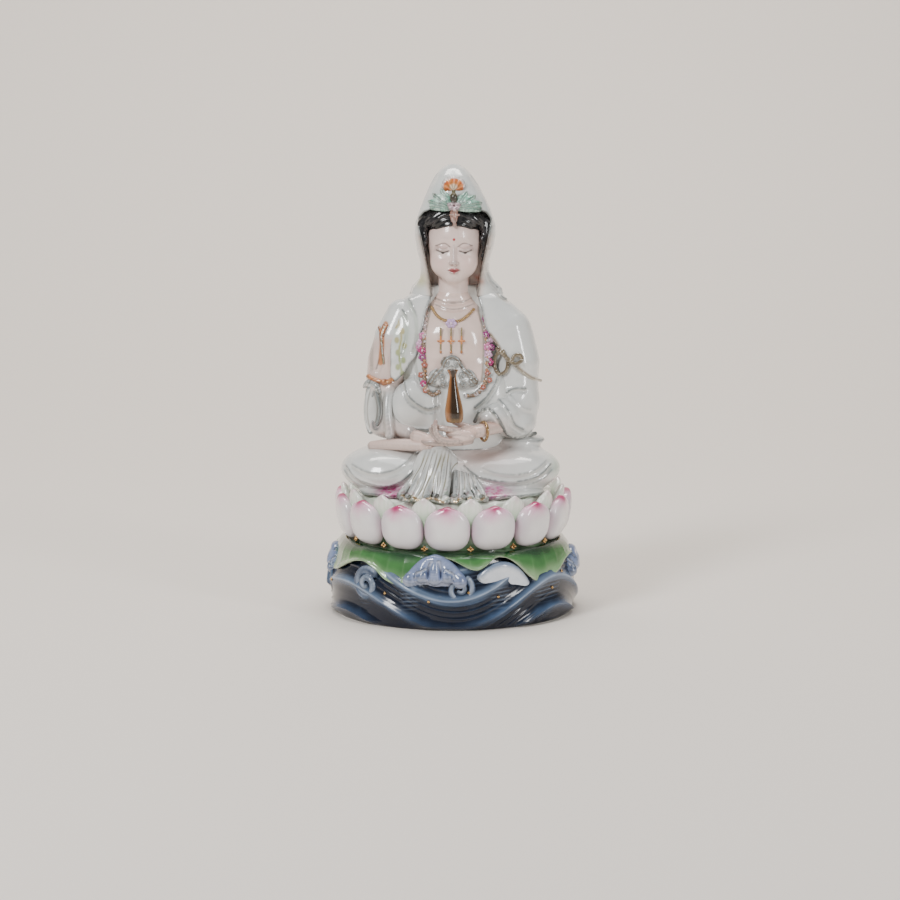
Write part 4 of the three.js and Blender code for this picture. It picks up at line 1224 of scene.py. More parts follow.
# ---- Hanging ribbon on the outer arm, armlet ----
ribbon = Clay((-94, -34, 150), (-58, 4, 212), 0.5)
loop = [(-73, -20, 205), (-77.5, -17, 196), (-80, -14, 184), (-80, -14, 172), (-78, -16, 162),
        (-75.5, -18, 157.5), (-71, -20, 162),
        (-67.5, -22, 172), (-67, -22.5, 183), (-69.5, -21, 194), (-73, -20, 204)]
ribbon.tube(spline(loop, 40), 1.3, k=1.0)
ribbon.ell((-73.6, -17, 181), (7.0, 3.0, 24), k=1.6)
ribbon.tube(spline([(-81, -10, 199), (-76, -17, 204), (-70, -23, 202), (-67, -25, 196)], 10),
            [1.6, 2.6, 3, 3, 3, 3, 3, 3, 2.4, 1.8], k=1)
loop_path = spline(loop, 40)


def paint_ribbon(p, n):
    d = near_path(p[:, [0, 2]], loop_path[:, [0, 2]])[0]
    return mix(shaded(p, n), PEWTER, 0.65 * smooth(1.0, 1.9, d) * smooth(3.4, 2.2, d))


piece("arm_ribbon", *ribbon.surface(), "white_glaze", porcelain, (), paint_ribbon, painted_shade=0.7)
band_path = laid(right_arm, [(-77, 209), (-70, 206.5), (-63, 205), (-57, 206), (-53, 210)], 0.4, 24)
band = rope(band_path, 2.3, k=0.6)
band.ell(band_path[12] + (0, -1, 0), (3.4, 2.4, 3.2), k=1)
strip = laid(right_arm, [(-62, 255), (-65, 247), (-64.5, 236), (-63, 222)], 0.2, 20)
piece("arm_band", *band.surface(), "crown_orange_glaze", enamel, ["armlet"],
      lambda p, n: mix((0.22, 0.075, 0.03), (0.50, 0.19, 0.07), smooth(-0.5, 0.6, lattice(p, 0.5, 4))),
      lambda p, n: 0.5 * smooth(0.1, 0.6, lattice(p, 0.7, 8)))
tie = rope(strip, np.linspace(2.4, 1.2, 20), k=0.6)
for fork in ([(-68.5, 256), (-66.5, 252), (-65, 247)], [(-59.5, 256), (-61.5, 252), (-64, 247)]):
    tie.tube(laid(right_arm, fork, 0.2, 10), np.linspace(1.1, 1.9, 10), k=0.8)


def paint_tie(p, n):
    col = mix((0.50, 0.17, 0.05), (0.34, 0.12, 0.06), smooth(-0.5, 0.6, lattice(p, 0.4, 4)))
    middle = near_path(p[:, [0, 2]], strip[:, [0, 2]])[0]
    return mix(col, mix((0.34, 0.36, 0.20), (0.66, 0.66, 0.60), smooth(-0.2, 0.4, lattice(p, 0.5, 9))),
               smooth(0.9, 0.4, middle))


piece("arm_strip", *tie.surface(), "crown_orange_glaze", enamel, (), paint_tie, painted_shade=0.5)

# ---- Hands ----
hand = Clay((-30, -84, 148), (52, -26, 184), 0.45)
hand.tube(spline([(41, -34, 167), (33, -46, 166), (24, -56, 164.8), (14, -62, 164)], 10),
          np.linspace(8.6, 6.6, 10), k=2, flat=(2, 0.82))
hand.ell((7, -65, 163.6), (14, 9.5, 5.6), k=3)
hand.ell((12, -71, 161.5), (8, 4, 4.4), k=3)
FINGERS = [
    ([(6, -70.5, 167.2), (-4, -71.5, 168.6), (-11, -70, 169.6), (-15.5, -67, 170.6)], 3.0, 2.1),
    ([(4, -66, 167), (-6, -67, 168), (-13, -65, 169), (-18, -62, 170)], 2.9, 2.0),
    ([(16, -70, 161.5), (4, -73, 158.4), (-7, -74, 158.6), (-14, -73.5, 163), (-16.2, -73, 170),
      (-15.6, -72.5, 175.5)], 3.3, 1.9),
    ([(8, -66, 159), (-4, -69, 156.6), (-12, -69, 158), (-18, -67.5, 163), (-20, -66.5, 168)], 3.1, 1.9),
    ([(17, -60, 167), (8, -58, 170.5), (1, -58, 173)], 3.4, 2.4),
]
for path, big, small in FINGERS:
    hand.tube(spline(path, 12), np.linspace(big, small, 12), k=1.1)
hand.press(2.5, lambda p: -0.35 * bump(near_path(p, spline(FINGERS[0][0], 12) - (0, 0, 3.4))[0], 0, 0.9))


def paint_hand(p, n):
    # Painted shade where the hand faces down.
    col = mix(plain(SKIN, p), (0.55, 0.33, 0.27),
              0.5 * smooth(0.1, -0.9, n[:, 2]))
    tips = smooth(5, 1.5, np.linalg.norm(p - np.array([-15.8, -72.6, 175], F), axis=1))
    return mix(col, (0.70, 0.40, 0.36), 0.5 * tips)


piece("hand_left", *hand.surface(), "skin_glaze", skin, ["left_hand"], paint_hand, painted_shade=0.5)
under = Clay((-40, -76, 146), (24, -40, 166), 0.5)
under.ell((-14, -57, 155.5), (15, 8.5, 4.4), k=2)
under.tube([(-4, -60, 155), (8, -62, 155.5), (16, -60, 156)], [4, 3.4, 2.6], k=1.5)
under.tube([(-20, -54, 156), (-33, -46, 158)], [5, 6], k=2)
piece("hand_right", *under.surface(), "skin_glaze", skin, ["right_hand"], paint_hand, painted_shade=0.5)
wrist = np.linspace(0, TAU, 49)
ring = np.stack([27.5 + 3.6 * np.cos(wrist), -55.2 - 8.2 * np.cos(wrist) * 0.75 - 0 * wrist,
                 164.3 + 8.4 * np.sin(wrist)], -1)
piece("bangle", *rope(ring, 1.35, k=0.3, step=0.4).surface(), "gold_lustre", lustre_glaze, ["bracelet"],
      lambda p, n: plain((0.09, 0.05, 0.03), p),
      lambda p, n: 0.55 + 0.35 * np.sin(np.arctan2(p[:, 2] - 164.3, p[:, 0] - 27.5) * 16))

# ---- Vase ----
prof = spline([(0.02, 174.6), (5.6, 174.5), (7.2, 175.6), (8.1, 179), (8.3, 184), (7.4, 191), (5.9, 198),
               (4.5, 205), (3.5, 211), (3.0, 215),
               (3.3, 217.6), (4.6, 220.2), (4.9, 221.3), (4.2, 221.8), (2.9, 220.6), (2.2, 218),
               (0.02, 217)], 110)
nu = 96
A, I = np.meshgrid(np.arange(nu) * TAU / nu, np.arange(len(prof)), indexing="ij")
x0 = 0.6 - 0.035 * (prof[I, 1] - 190)
vase_pts = np.stack([x0 + np.cos(A) * prof[I, 0], -70 + np.sin(A) * prof[I, 0], prof[I, 1]], -1)
copper = glaze("copper_lustre", rough=0.12, coat=0.45, mottle=0.2, mottle_scale=120.0)
# Painted reflection: dark brown where the vase faces the front, lighter copper and more metallic where it
# turns to the sides.
piece("vase_body", vase_pts.reshape(-1, 3), grid_quads(nu, len(prof), True, False), "gold_lustre", copper,
      ["vase"],
      lambda p, n: mix((0.012, 0.005, 0.002), (0.34, 0.13, 0.045),
                       smooth(0.30, 1.0, np.abs(n[:, 0] - 0.12))),
      lambda p, n: 0.03 + 0.27 * smooth(0.5, 1.0, np.abs(n[:, 0])) + 0.3 * smooth(180, 176, p[:, 2]),
      whole=True)

# ---- Clasp: an arched scroll in pearl white with drawn lines ----
clasp = Clay((-32, -52, 194), (30, -22, 238), 0.42)
ARCH = [(-21, 206), (-16, 213), (-10.5, 219), (-7.5, 226), (-1.5, 230), (4.5, 227.5), (8.5, 220.5),
        (14, 214), (20.5, 206.5)]
arch = laid(torso, ARCH, 3.2, 36)
for x, z, rx, rz in [(-1.5, 223, 10, 8), (-11, 212, 11, 7), (9, 212, 11, 7), (-17.5, 207, 6.4, 5),
                     (16, 207, 7, 5.4), (-8, 206, 6, 4.6),
                     (8, 205, 7, 5)]:
    clasp.ell((x, front(torso, x, z) - 2.2, z), (rx, 4.4, rz), k=1.6)
clasp.ell((-1.5, front(torso, 0, 214) - 6, 217), (4.2, 5, 3.4), k=1.2, cut=True)
clasp.tube(arch, 1.3, k=0.6)
SCROLLS = [(-6.4, 224, 3.6, 1), (3.6, 224, 3.6, -1), (-18, 207, 3.4, 1), (-10.5, 211.5, 3.8, -1),
           (9, 212, 3.8, 1), (9, 204.2, 3.0, -1),
           (17, 206.6, 3.8, -1), (-9, 204.8, 2.6, 1), (-1.5, 228.6, 2.0, 1), (14.5, 213, 2.2, 1)]


def scroll_lines(p):
    """How near a drawn scroll line a point is, 0 to 1."""
    out = np.zeros(len(p), F)
    for x, z, r, sense in SCROLLS:
        dx, dz = (p[:, 0] - x) * sense, p[:, 2] - z
        d = np.hypot(dx, dz)
        coil = np.abs(np.sin(d * 1.35 - np.arctan2(dz, dx) * 0.5))
        out = np.maximum(out, smooth(0.62, 0.25, coil) * smooth(r + 0.9, r + 0.2, d))
    rim = near_path(p[:, [0, 2]], arch[:, [0, 2]])[0]
    return np.maximum(out, smooth(1.0, 0.4, np.abs(rim - 1.5)))


clasp.press(2.5, lambda p: -0.45 * scroll_lines(p))
piece("clasp_scroll", *clasp.surface(), "pearl_grey_glaze", porcelain, ["clasp"],
      lambda p, n: mix(shaded(p, n), (0.05, 0.048, 0.045), 0.95 * scroll_lines(p)),
      lambda p, n: 0.15 * scroll_lines(p), painted_shade=0.7)

# ---- Necklace and drops ----
BRONZE = (0.17, 0.11, 0.045)
chain = laid(torso, [(-19.5, 272), (-15, 265.5), (-9.5, 261.8), (-2, 260.3), (6, 261), (12.5, 264.6),
                     (18.6, 270)], 0.6, 44)
spots = []
for i, c in enumerate(chain):
    big = 1.55 if i % 2 else 1.25
    spots.append((c, (big, big, big), BRONZE if i % 4 else (0.32, 0.24, 0.10), 0.55))
bloom = np.array([-1.8, front(torso, -1.8, 258.6) - 1.6, 258.8])
for i in range(6):
    a = TAU * i / 6
    spots.append((bloom + (3.3 * math.cos(a), -0.3, 2.8 * math.sin(a)), (2.1, 1.5, 1.9),
                  (0.52, 0.36, 0.60), 0))
spots.append((bloom + (0, -1.2, 0), (1.6, 1.3, 1.6), (0.66, 0.48, 0.62), 0.0))
for x in (-11.2, -1.9, 7.6):
    y = front(torso, x, 246)
    for z in np.arange(254.5, 234, -1.5):
        dark = z > 247 or z < 240
        spots.append(((x, y - 0.9 + 0.02 * abs(z - 246), z), (0.95, 1.0, 1.05), (0.15, 0.15, 0.07) if dark
                      else (0.62, 0.22, 0.06), 0.25))
    for dx in (-2.6, -1.3, 1.3, 2.6):
        spots.append(((x + dx, y - 1.1, 243.2), (0.9, 0.9, 0.85), (0.55, 0.19, 0.05), 0.1))
    spots.append(((x, y - 1.6, 243.2), (1.5, 1.2, 1.5), (0.66, 0.25, 0.07), 0.1))
    spots.append(((x, y - 1.0, 233.2), (1.2, 1.2, 1.6), (0.40, 0.14, 0.05), 0.2))
beads("necklace_drops", spots, "gold_lustre", enamel, ["necklace"])

# ---- Garlands of beads and flowers down the robe's edges ----
def garland(name, path, flowers, node, seed):
    line = laid(torso, path, 0.9, 92)
    rng = np.random.default_rng(seed)
    spots = []
    for i, c in enumerate(line):
        z = c[2]
        if rng.random() < 0.55:
            tone = (0.20, 0.13, 0.09)
        elif rng.random() < 0.5:
            tone = (0.42, 0.20, 0.09)
        else:
            tone = (0.52, 0.46, 0.47)
        if z > 246:
            tone = mix(tone, (0.46, 0.38, 0.40), 0.6)
        wiggle = 0.9 * math.sin(i * 1.9)
        spots.append((c + (wiggle, -0.2, 0), (1.5, 1.5, 1.5), tone, 0.25 if rng.random() < 0.4 else 0.0))
    for x, z, size, tone in flowers:
        y = front(torso, x, z)
        if math.isnan(y):
            continue
        y = min(y, -14) - 1.8
        for k in range(5):
            a = TAU * k / 5 + seed + x
            spots.append(((x + size * 0.8 * math.cos(a), y, z + size * 0.8 * math.sin(a)),
                          (size * 0.62, 1.5, size * 0.62), tone, 0))
        spots.append(((x, y - 1.1, z), (size * 0.42,) * 3, mix(tone, (0.85, 0.65, 0.75), 0.55), 0))
    beads(name, spots, "garland_enamel", enamel, [node])


VIOLET = (0.26, 0.035, 0.17)
ROSE = (0.55, 0.16, 0.34)
MAGENTA = (0.36, 0.012, 0.13)
RUST = (0.36, 0.11, 0.07)
LILAC = (0.60, 0.34, 0.52)
garland("garland_a", [(-20, 287), (-23, 277), (-24.5, 262), (-26, 249), (-27, 238), (-26.5, 224),
                      (-26, 211), (-24.5, 202), (-19, 194.5), (-13, 197)],
        [(-27.5, 247, 2.7, ROSE), (-29.5, 240, 3.0, LILAC), (-28, 234, 2.8, MAGENTA),
         (-31, 236, 2.2, ROSE), (-28, 228, 2.7, VIOLET),
         (-26, 221, 2.3, RUST), (-29, 212, 2.2, RUST), (-27, 205, 2.3, MAGENTA), (-25, 199, 2.1, RUST)],
         "garland_left", 5)
garland("garland_b", [(24, 288), (26.5, 277), (28.5, 262), (29.5, 250), (30.5, 238), (31, 224), (30, 211),
                      (27, 202), (20, 195), (12, 194)],
        [(29, 262, 2.2, VIOLET), (31, 255, 2.2, LILAC), (30, 248, 2.6, VIOLET), (33, 243, 3.0, LILAC),
         (31, 237, 3.0, ROSE), (35, 236, 2.5, VIOLET),
         (32, 230, 2.9, LILAC), (33.5, 223, 2.6, MAGENTA), (31, 214, 2.2, RUST), (33, 208, 2.0, RUST),
         (27, 202, 2.0, RUST)], "garland_right", 8)

# ---- Hem cord, bow and loops on the mantle ----
def cape_path(path, lift, count=40):
    flat = spline(path, count)
    y = []
    for a, b in flat:
        ys = [front(c, a, b) for c in (mantle, left_arm, right_arm, torso)]
        ys = [v for v in ys if not math.isnan(v)]
        y.append(min(ys) if ys else 0.0)
    return np.stack([flat[:, 0], np.array(y) - lift, flat[:, 1]], -1)


cord = cape_path(HEM_RIGHT, 0.6, 50)
cord[:, 1] = np.convolve(np.pad(cord[:, 1], 3, "edge"), np.ones(7) / 7, "valid")
# Painted light: the cord is lighter where it faces up.
piece("hem_cord", *rope(cord, 1.5, k=0.4).surface(), "white_glaze", porcelain, (),
      lambda p, n: mix(plain((0.26, 0.25, 0.21), p), (0.45, 0.43, 0.36),
                       smooth(-0.3, 0.7, n[:, 2])),
      lambda p, n: np.full(len(p), 0.15))
LOOPS = [
    [(43, 234), (38.5, 227), (38, 218), (42, 212.5), (47.5, 215), (49.5, 222), (48, 228), (43.5, 231.5),
     (40, 235)],
    [(46, 231), (51, 225.5), (56.5, 222.5), (62, 226), (60.5, 230.5), (55.5, 230), (52.5, 225)],
]
knot = None
for path in LOOPS:
    line = cape_path(path, 2.6, 44)
    line[:, 1] = np.minimum(line[:, 1], line[:, 1].mean() + 2)
    if knot is None:
        knot = Clay((28, -54, 200), (72, -8, 246), 0.5)
    knot.tube(line, 1.75, k=0.6)
at = cape_path([(44, 233), (44.5, 232.5)], 3.0, 2)[0]
knot.ell(at, (3.4, 2.8, 2.8), k=1)
# Painted light: the bow is lighter where it faces up.
piece("bow", *knot.surface(), "gold_lustre", porcelain, ["shoulder_bow"],
      lambda p, n: mix((0.20, 0.19, 0.15), (0.55, 0.53, 0.46), smooth(-0.2, 0.8, n[:, 2])),
      lambda p, n: np.full(len(p), 0.2), whole=True, painted_shade=0.6)

# ---- Head: a calm, evenly proportioned face ----
# The old figure canon: a face is twelve parts wide and twelve and a half high from hairline to chin.
# It is three equal thirds high, the eyes lie half way up the head, each eye is a fifth of the width,
# and the mouth lies a third of the way from the nose to the chin.
HAIRLINE = 347.0
FACE_HALF = 25.2
CHIN = HAIRLINE - 2 * FACE_HALF * 12.5 / 12
THIRD = (HAIRLINE - CHIN) / 3
NOSE_BASE, BROW = CHIN + THIRD, CHIN + 2 * THIRD
CROWN = HAIRLINE + THIRD / 2
EYE_LINE = (CROWN + CHIN) / 2
MOUTH = CHIN + 2 * THIRD / 3
EYE_X = 2 * FACE_HALF / 5
MID = 0.8
head = Clay((-30, -42, 277), (32, 24, 366), 0.42)
head.ell((MID, -3, 333), (24.3, 27, 30), k=1)
head.ell((MID, -10.5, CHIN + 17.8), (19.4, 19, 17.8), k=9)
head.ell((MID, -21, CHIN + 4.8), (6.5, 6.2, 5.0), k=7)
for side in (-1, 1):
    head.ell((MID + side * 11.5, -19.5, NOSE_BASE + 1), (8.2, 8.4, 9.5), k=8)
head.tube([(0.3, 1, 279), (0.3, 0.5, 285), (0.4, -1, 306)], [17.2, 14.7, 13.8], k=3)
for side in (-1, 1):
    x = MID + side * EYE_X
    head.ell((x, -32.2, EYE_LINE + 1.8), (7.6, 5.0, 5.0), k=6, cut=True, roll=side * 0.10)
    head.ell((x, -23.6, EYE_LINE - 0.4), (6.6, 4.9, 4.2), k=2.4, roll=side * 0.06)
head.tube([(MID, -27.6, BROW - 1), (MID, -29.8, EYE_LINE - 3), (MID, -31.8, NOSE_BASE + 2.6)],
          [1.4, 1.8, 2.4], k=2.6)
head.ell((MID, -32.0, NOSE_BASE + 1.5), (2.6, 2.5, 2.2), k=1.6)
for side in (-1, 1):
    head.ell((MID + side * 3.0, -29.8, NOSE_BASE + 1.2), (1.9, 2.2, 1.7), k=1.0)
    head.ell((MID + side * 1.8, -30.4, NOSE_BASE - 0.6), (0.8, 1.2, 0.6), k=0.6, cut=True)
    head.ell((MID + side * 2.5, -28.5, MOUTH + 1.3), (3.4, 2.0, 1.25), k=0.9, roll=side * 0.18)
    head.ell((MID + side * 27.5, -2, 318), (3.0, 5.4, 9.5), k=2)
head.ell((MID, -28.4, MOUTH - 1.5), (4.0, 2.1, 1.55), k=0.9)
for side in (-1, 1):
    lid = [(MID + side * (EYE_X - 5.2), EYE_LINE - 0.9), (MID + side * EYE_X, EYE_LINE - 2.1),
           (MID + side * (EYE_X + 5.4), EYE_LINE - 0.2)]
    groove(head, lid, 0.45, 0.45, 0.0, behind=-15)
    crease = [(x, z + 3.6) for x, z in lid]
    groove(head, crease, 0.5, 0.25, 0.0, behind=-15)
groove(head, [(MID - 5.2, MOUTH + 0.4), (MID, MOUTH - 0.1), (MID + 5.2, MOUTH + 0.4)], 0.4, 0.5, 0.0,
       behind=-15)
groove(head, [(MID, NOSE_BASE - 1.5), (MID, MOUTH + 2.6)], 0.9, 0.25, 0.0, behind=-15)


def paint_head(p, n):
    x, z = p[:, 0] - MID, p[:, 2]
    ahead = (p[:, 1] < -12).astype(F)
    # Painted shade where the face skin faces down.
    col = mix(plain((0.74, 0.59, 0.54), p), (0.52, 0.34, 0.29),
              0.45 * smooth(0.1, -0.8, n[:, 2]))
    cheek = np.exp(-(((np.abs(x) - 13) / 7) ** 2) - ((z - NOSE_BASE - 1) / 7) ** 2)
    col = mix(col, (0.72, 0.42, 0.38), 0.35 * cheek * ahead)
    col = mix(col, (0.60, 0.40, 0.38),
              0.35 * np.exp(-(((np.abs(x) - EYE_X) / 6) ** 2) - ((z - EYE_LINE - 3) / 2.4) ** 2) * ahead)
    for side in (-1, 1):
        a = side * (EYE_X - 5.4)
        lid = [(MID + a, EYE_LINE - 1.0), (MID + side * EYE_X, EYE_LINE - 2.2),
               (MID + side * (EYE_X + 5.6), EYE_LINE - 0.2)]
        slit = np.exp(-(((x - side * EYE_X) / 4.3) ** 4) - ((z - EYE_LINE + 2.9) / 0.8) ** 2)
        col = mix(col, (0.70, 0.68, 0.66), 0.8 * slit * ahead)
        col = mix(col, (0.03, 0.018, 0.014),
                  smooth(1.9, 1.2, np.hypot(x - side * EYE_X, (z - EYE_LINE + 2.7) * 1.6)) * ahead)
        col = mix(col, (0.035, 0.02, 0.016), 0.92 * stroke(p, lid, 0.32, 0.55, -12))
        col = mix(col, (0.30, 0.17, 0.13), 0.5 * stroke(p, [(u, v + 3.6) for u, v in lid], 0.15, 0.6, -12))
        brow = [(MID + side * 3.6, BROW - 1.6), (MID + side * 9, BROW + 1.5),
                (MID + side * 16.5, BROW - 1.0)]
        col = mix(col, (0.10, 0.075, 0.065), 0.7 * stroke(p, brow, 0.22, 0.7, -8))
    half = 5.1 - 0.06 * (z - MOUTH) ** 2
    upper = smooth(0.5, -0.4, np.abs(x) - half * np.clip(1.15 - np.abs(z - MOUTH - 0.9) / 2.6, 0.1, 1))
    lips = upper * smooth(3.1, 2.2, np.abs(z - MOUTH + 0.3)) * ahead
    col = mix(col, (0.50, 0.085, 0.10), 0.85 * lips)
    line = [(MID - 5.0, MOUTH + 0.4), (MID, MOUTH - 0.1), (MID + 5.0, MOUTH + 0.4)]
    col = mix(col, (0.22, 0.02, 0.03), 0.8 * stroke(p, line, 0.15, 0.45, -12))
    col = mix(col, (0.30, 0.10, 0.08),
              0.5 * smooth(1.3, 0.6, np.hypot(np.abs(x) - 1.8, z - NOSE_BASE + 0.4)) * ahead)
    return mix(col, (0.42, 0.03, 0.035), smooth(1.5, 1.0, np.hypot(x, z - BROW - 5.0)) * ahead)


piece("face", *head.surface(), "skin_glaze", skin, ["head"], paint_head, painted_shade=0.3)

# ---- Hair ----
hair = Clay((-42, -42, 305), (44, 36, 396), 0.55)
hair.ell((MID, 1, 350), (32.6, 29.5, 15), k=2)
hair.ell((MID, 3, 357), (26, 26.5, 19), k=6)
hair.ell((MID, 6, 330), (25.5, 22, 28), k=5)
hair.tube(spline([(-27.5, -10, 347), (-27, -13, 337), (-25.6, -14, 327), (-24, -13, 315)], 10),
          np.linspace(5, 1.3, 10), k=3)
hair.tube(spline([(29.1, -10, 347), (28.6, -13, 337), (27.2, -14, 327), (25.6, -13, 315)], 10),
          np.linspace(5, 1.3, 10), k=3)
hair.put((-26, -60, 286), (28, -4, 352), lambda x, y, z: np.maximum(
    ((np.abs((x - F(MID)) / F(FACE_HALF)) ** 2.6 + (np.abs((z - F(318)) / F(28.6))) ** 2.6) ** F(1 / 2.6)
     - 1) * F(24), y + F(6)), k=1.5, cut=True)


def strands(p):
    """Fine strands over broad waves of hair, which bow down from the parting."""
    side = p[:, 0] - MID
    ahead = smooth(2, -10, p[:, 1])
    fine = 0.30 * np.sin((p[:, 2] + 0.022 * side ** 2) * 1.25) * ahead * smooth(30, 24, np.abs(side))
    broad = 0.7 * np.sin((p[:, 2] + 0.02 * side ** 2) * 0.42 + 1.0) * ahead * smooth(31, 22, np.abs(side))
    return fine + broad


hair.press(3, strands)
hair.press(3, lambda p: -1.2 * bump(p[:, 0], MID, 1.2) * (p[:, 1] < -10))


def paint_hair(p, n):
    return mix((0.006, 0.006, 0.007), (0.035, 0.033, 0.035), smooth(-0.2, 0.9, lattice(p, 0.25, 12)))


piece("hair_cap", *hair.surface(), "black_glaze", ebony, ["hair"], paint_hair)

# ---- Hood ----
HOOD = [(281, 2, 10, 43, 27), (288, 2.5, 9, 41, 27), (296, 2, 6, 33.5, 28), (303, 1, 3, 31, 30),
        (312, 1, 1, 31.2, 32), (325, 1.6, 0, 35, 34),
        (337, 1.8, 1, 37, 36), (346, 1.8, 2, 36.8, 36), (358, 1.8, 3, 33, 34), (370, 1.4, 4.5, 28, 30),
        (382, 0.8, 5, 22, 25.5), (391, 0.4, 5.5, 16.3, 19.5),
        (397, 0.2, 6, 10.8, 12.5), (400.6, 0.2, 6, 5.0, 5.5)]
hood = Clay((-50, -38, 278), (52, 46, 405), 0.75)
hood.put(*column([tuple(r) for r in HOOD], 2.1))
hood.soften(2)


def hood_opening(x, y, z):
    width = np.interp(z, [278, 300, 310, 322, 334, 344, 352, 358, 362, 366],
                      [19, 22.5, 24.5, 27, 29.5, 31.5, 31, 27, 19, 0.1]).astype(F)
    return np.maximum((np.abs(x - F(1.4)) - width) * F(0.85), y - F(2) + 0 * z)


hood.put((-50, -60, 270), (52, 0, 367), hood_opening, k=2.2, cut=True)


def hood_folds(p):
    """Soft folds that deepen from the crown down the back of the hood."""
    a = np.arctan2(p[:, 0], p[:, 1] - 6)
    wave = np.sin(a * 5 + 0.7 * np.sin(a * 3)) + 0.5 * np.sin(a * 11 + 0.03 * p[:, 2])
    depth = 0.25 + 0.95 * smooth(375, 300, p[:, 2])
    return wave * depth * smooth(-6, 12, p[:, 1]) * smooth(392, 365, p[:, 2])


hood.press(3, hood_folds)
groove(hood, [(-15, 391), (-21, 378), (-27, 362), (-33, 348)], 2.2, 0.9, 0.5, behind=0)
groove(hood, [(17, 391), (23, 378), (29, 362), (35, 348)], 2.2, 0.9, 0.5, behind=0)
groove(hood, [(33, 322), (30, 308), (33, 296), (40, 287)], 1.5, 0.9, 0.4, behind=14)


def paint_hood(p, n):
    x, z = p[:, 0] - 1.4, p[:, 2]
    col = shaded(p, n)
    width = np.interp(z, [278, 300, 310, 322, 334, 344, 352, 358, 362, 366],
                      [19, 22.5, 24.5, 27, 29.5, 31.5, 31, 27, 19, 0.1])
    near_face = smooth(8, 1, np.abs(x) - width) * smooth(342, 334, z) * (p[:, 1] < 8)
    col = mix(col, (0.58, 0.42, 0.35), 0.7 * near_face)
    col = mix(col, (0.50, 0.46, 0.17), 0.7 * np.exp(-(((x + 31) / 6) ** 2) - ((z - 297) / 7) ** 2)
              * (p[:, 1] < 12))
    col = mix(col, (0.17, 0.09, 0.045), 0.85 * np.exp(-(((x + 21) / 3.2) ** 2) - ((z - 295) / 8) ** 2)
              * (p[:, 1] < 12))
    col = mix(col, (0.42, 0.11, 0.05), 0.85
              * np.exp(-(((x - 22) / 4.5) ** 2) - ((z - 297 + 0.4 * (x - 22)) / 3) ** 2) * (p[:, 1] < 12))
    col = mix(col, (0.55, 0.66, 0.64), 0.4 * smooth(392, 370, z) * smooth(350, 366, z) * (p[:, 1] < -8))
    from_edge = np.abs(np.abs(x) - width - 1.6)
    rim = smooth(2.2, 0.8, from_edge) * smooth(368, 360, z) * smooth(10, 4, p[:, 1]) * (z < 364)
    col = mix(col, (0.30, 0.27, 0.24), 0.45 * rim)
    # Painted shade in the crease down the hood's side.
    return mix(col, (0.36, 0.34, 0.33), 0.5 * stroke(p, [(33, 322), (30, 308), (33, 296), (40, 287)], 0.6,
                                                     1.2, 14))


piece("hood", *hood.surface(), "white_glaze", porcelain, ["veil"], paint_hood, painted_shade=0.7)

# ---- Crown: leaves, fan, small seated form and the drop on the brow ----
leaves = Clay((-32, -44, 352), (34, -8, 388), 0.42)
LEAF_TIPS = [(-21, 362.5), (-22, 368), (-18, 374.5), (-11, 379), (26.5, 360.5), (25.5, 366.5), (20, 373),
             (12.5, 376.5)]
leaf_lines = []
for i, tip in enumerate(LEAF_TIPS):
    side = -1 if tip[0] < 0 else 1
    root = np.array((0.6 + side * 3.4, 362.0 + 0.8 * (i % 4)))
    bow = np.array((side * 1.8, 1.6)) * (1 - 0.5 * (i % 4))
    flat = spline([root, (root + tip) / 2 + bow, tip], 14)
    y = [front(hood, x, max(z, 368)) for x, z in flat]
    y = np.array([-27 if math.isnan(v) else v for v in y]) - 1.6 - 0.5 * (i % 2)
    line = np.stack([flat[:, 0], np.maximum(y, -36), flat[:, 1]], -1)
    leaf_lines.append(line)
    leaves.tube(line, 0.7 + 3.5 * np.sin(np.linspace(0.25, math.pi - 0.05, 14)) ** 0.8, k=0.7,
                flat=(1, 0.62))


def leaf_veins(p):
    """1 on the midrib of a crown leaf, 0 away from it."""
    flat = p[:, [0, 2]]
    d = np.min([near_path(flat, line[:, [0, 2]])[0] for line in leaf_lines], 0)
    return smooth(0.75, 0.3, d)


leaves.press(2, lambda p: -0.5 * leaf_veins(p))


def paint_leaves(p, n):
    # Green that varies at random, and is lighter where the leaves face up as painted light.
    col = mix((0.22, 0.46, 0.35), (0.56, 0.74, 0.65),
              smooth(-0.7, 0.6, lattice(p, 0.16, 15) + 0.5 * n[:, 2]))
    col = mix(col, (0.10, 0.20, 0.14), 0.6 * leaf_veins(p))
    for x, z, rx, rz, deep in [(-16.5, 376, 1.4, 4, 0.95), (-12, 368, 1.2, 5, 0.6),
                               (23, 371, 3.4, 1.1, 0.85), (26, 361.5, 3.4, 1.4, 0.85),
                               (-18, 360, 4, 1.2, 0.5)]:
        col = mix(col, (0.015, 0.03, 0.025),
                  deep * np.exp(-(((p[:, 0] - x) / rx) ** 2) - ((p[:, 2] - z) / rz) ** 2))
    return col


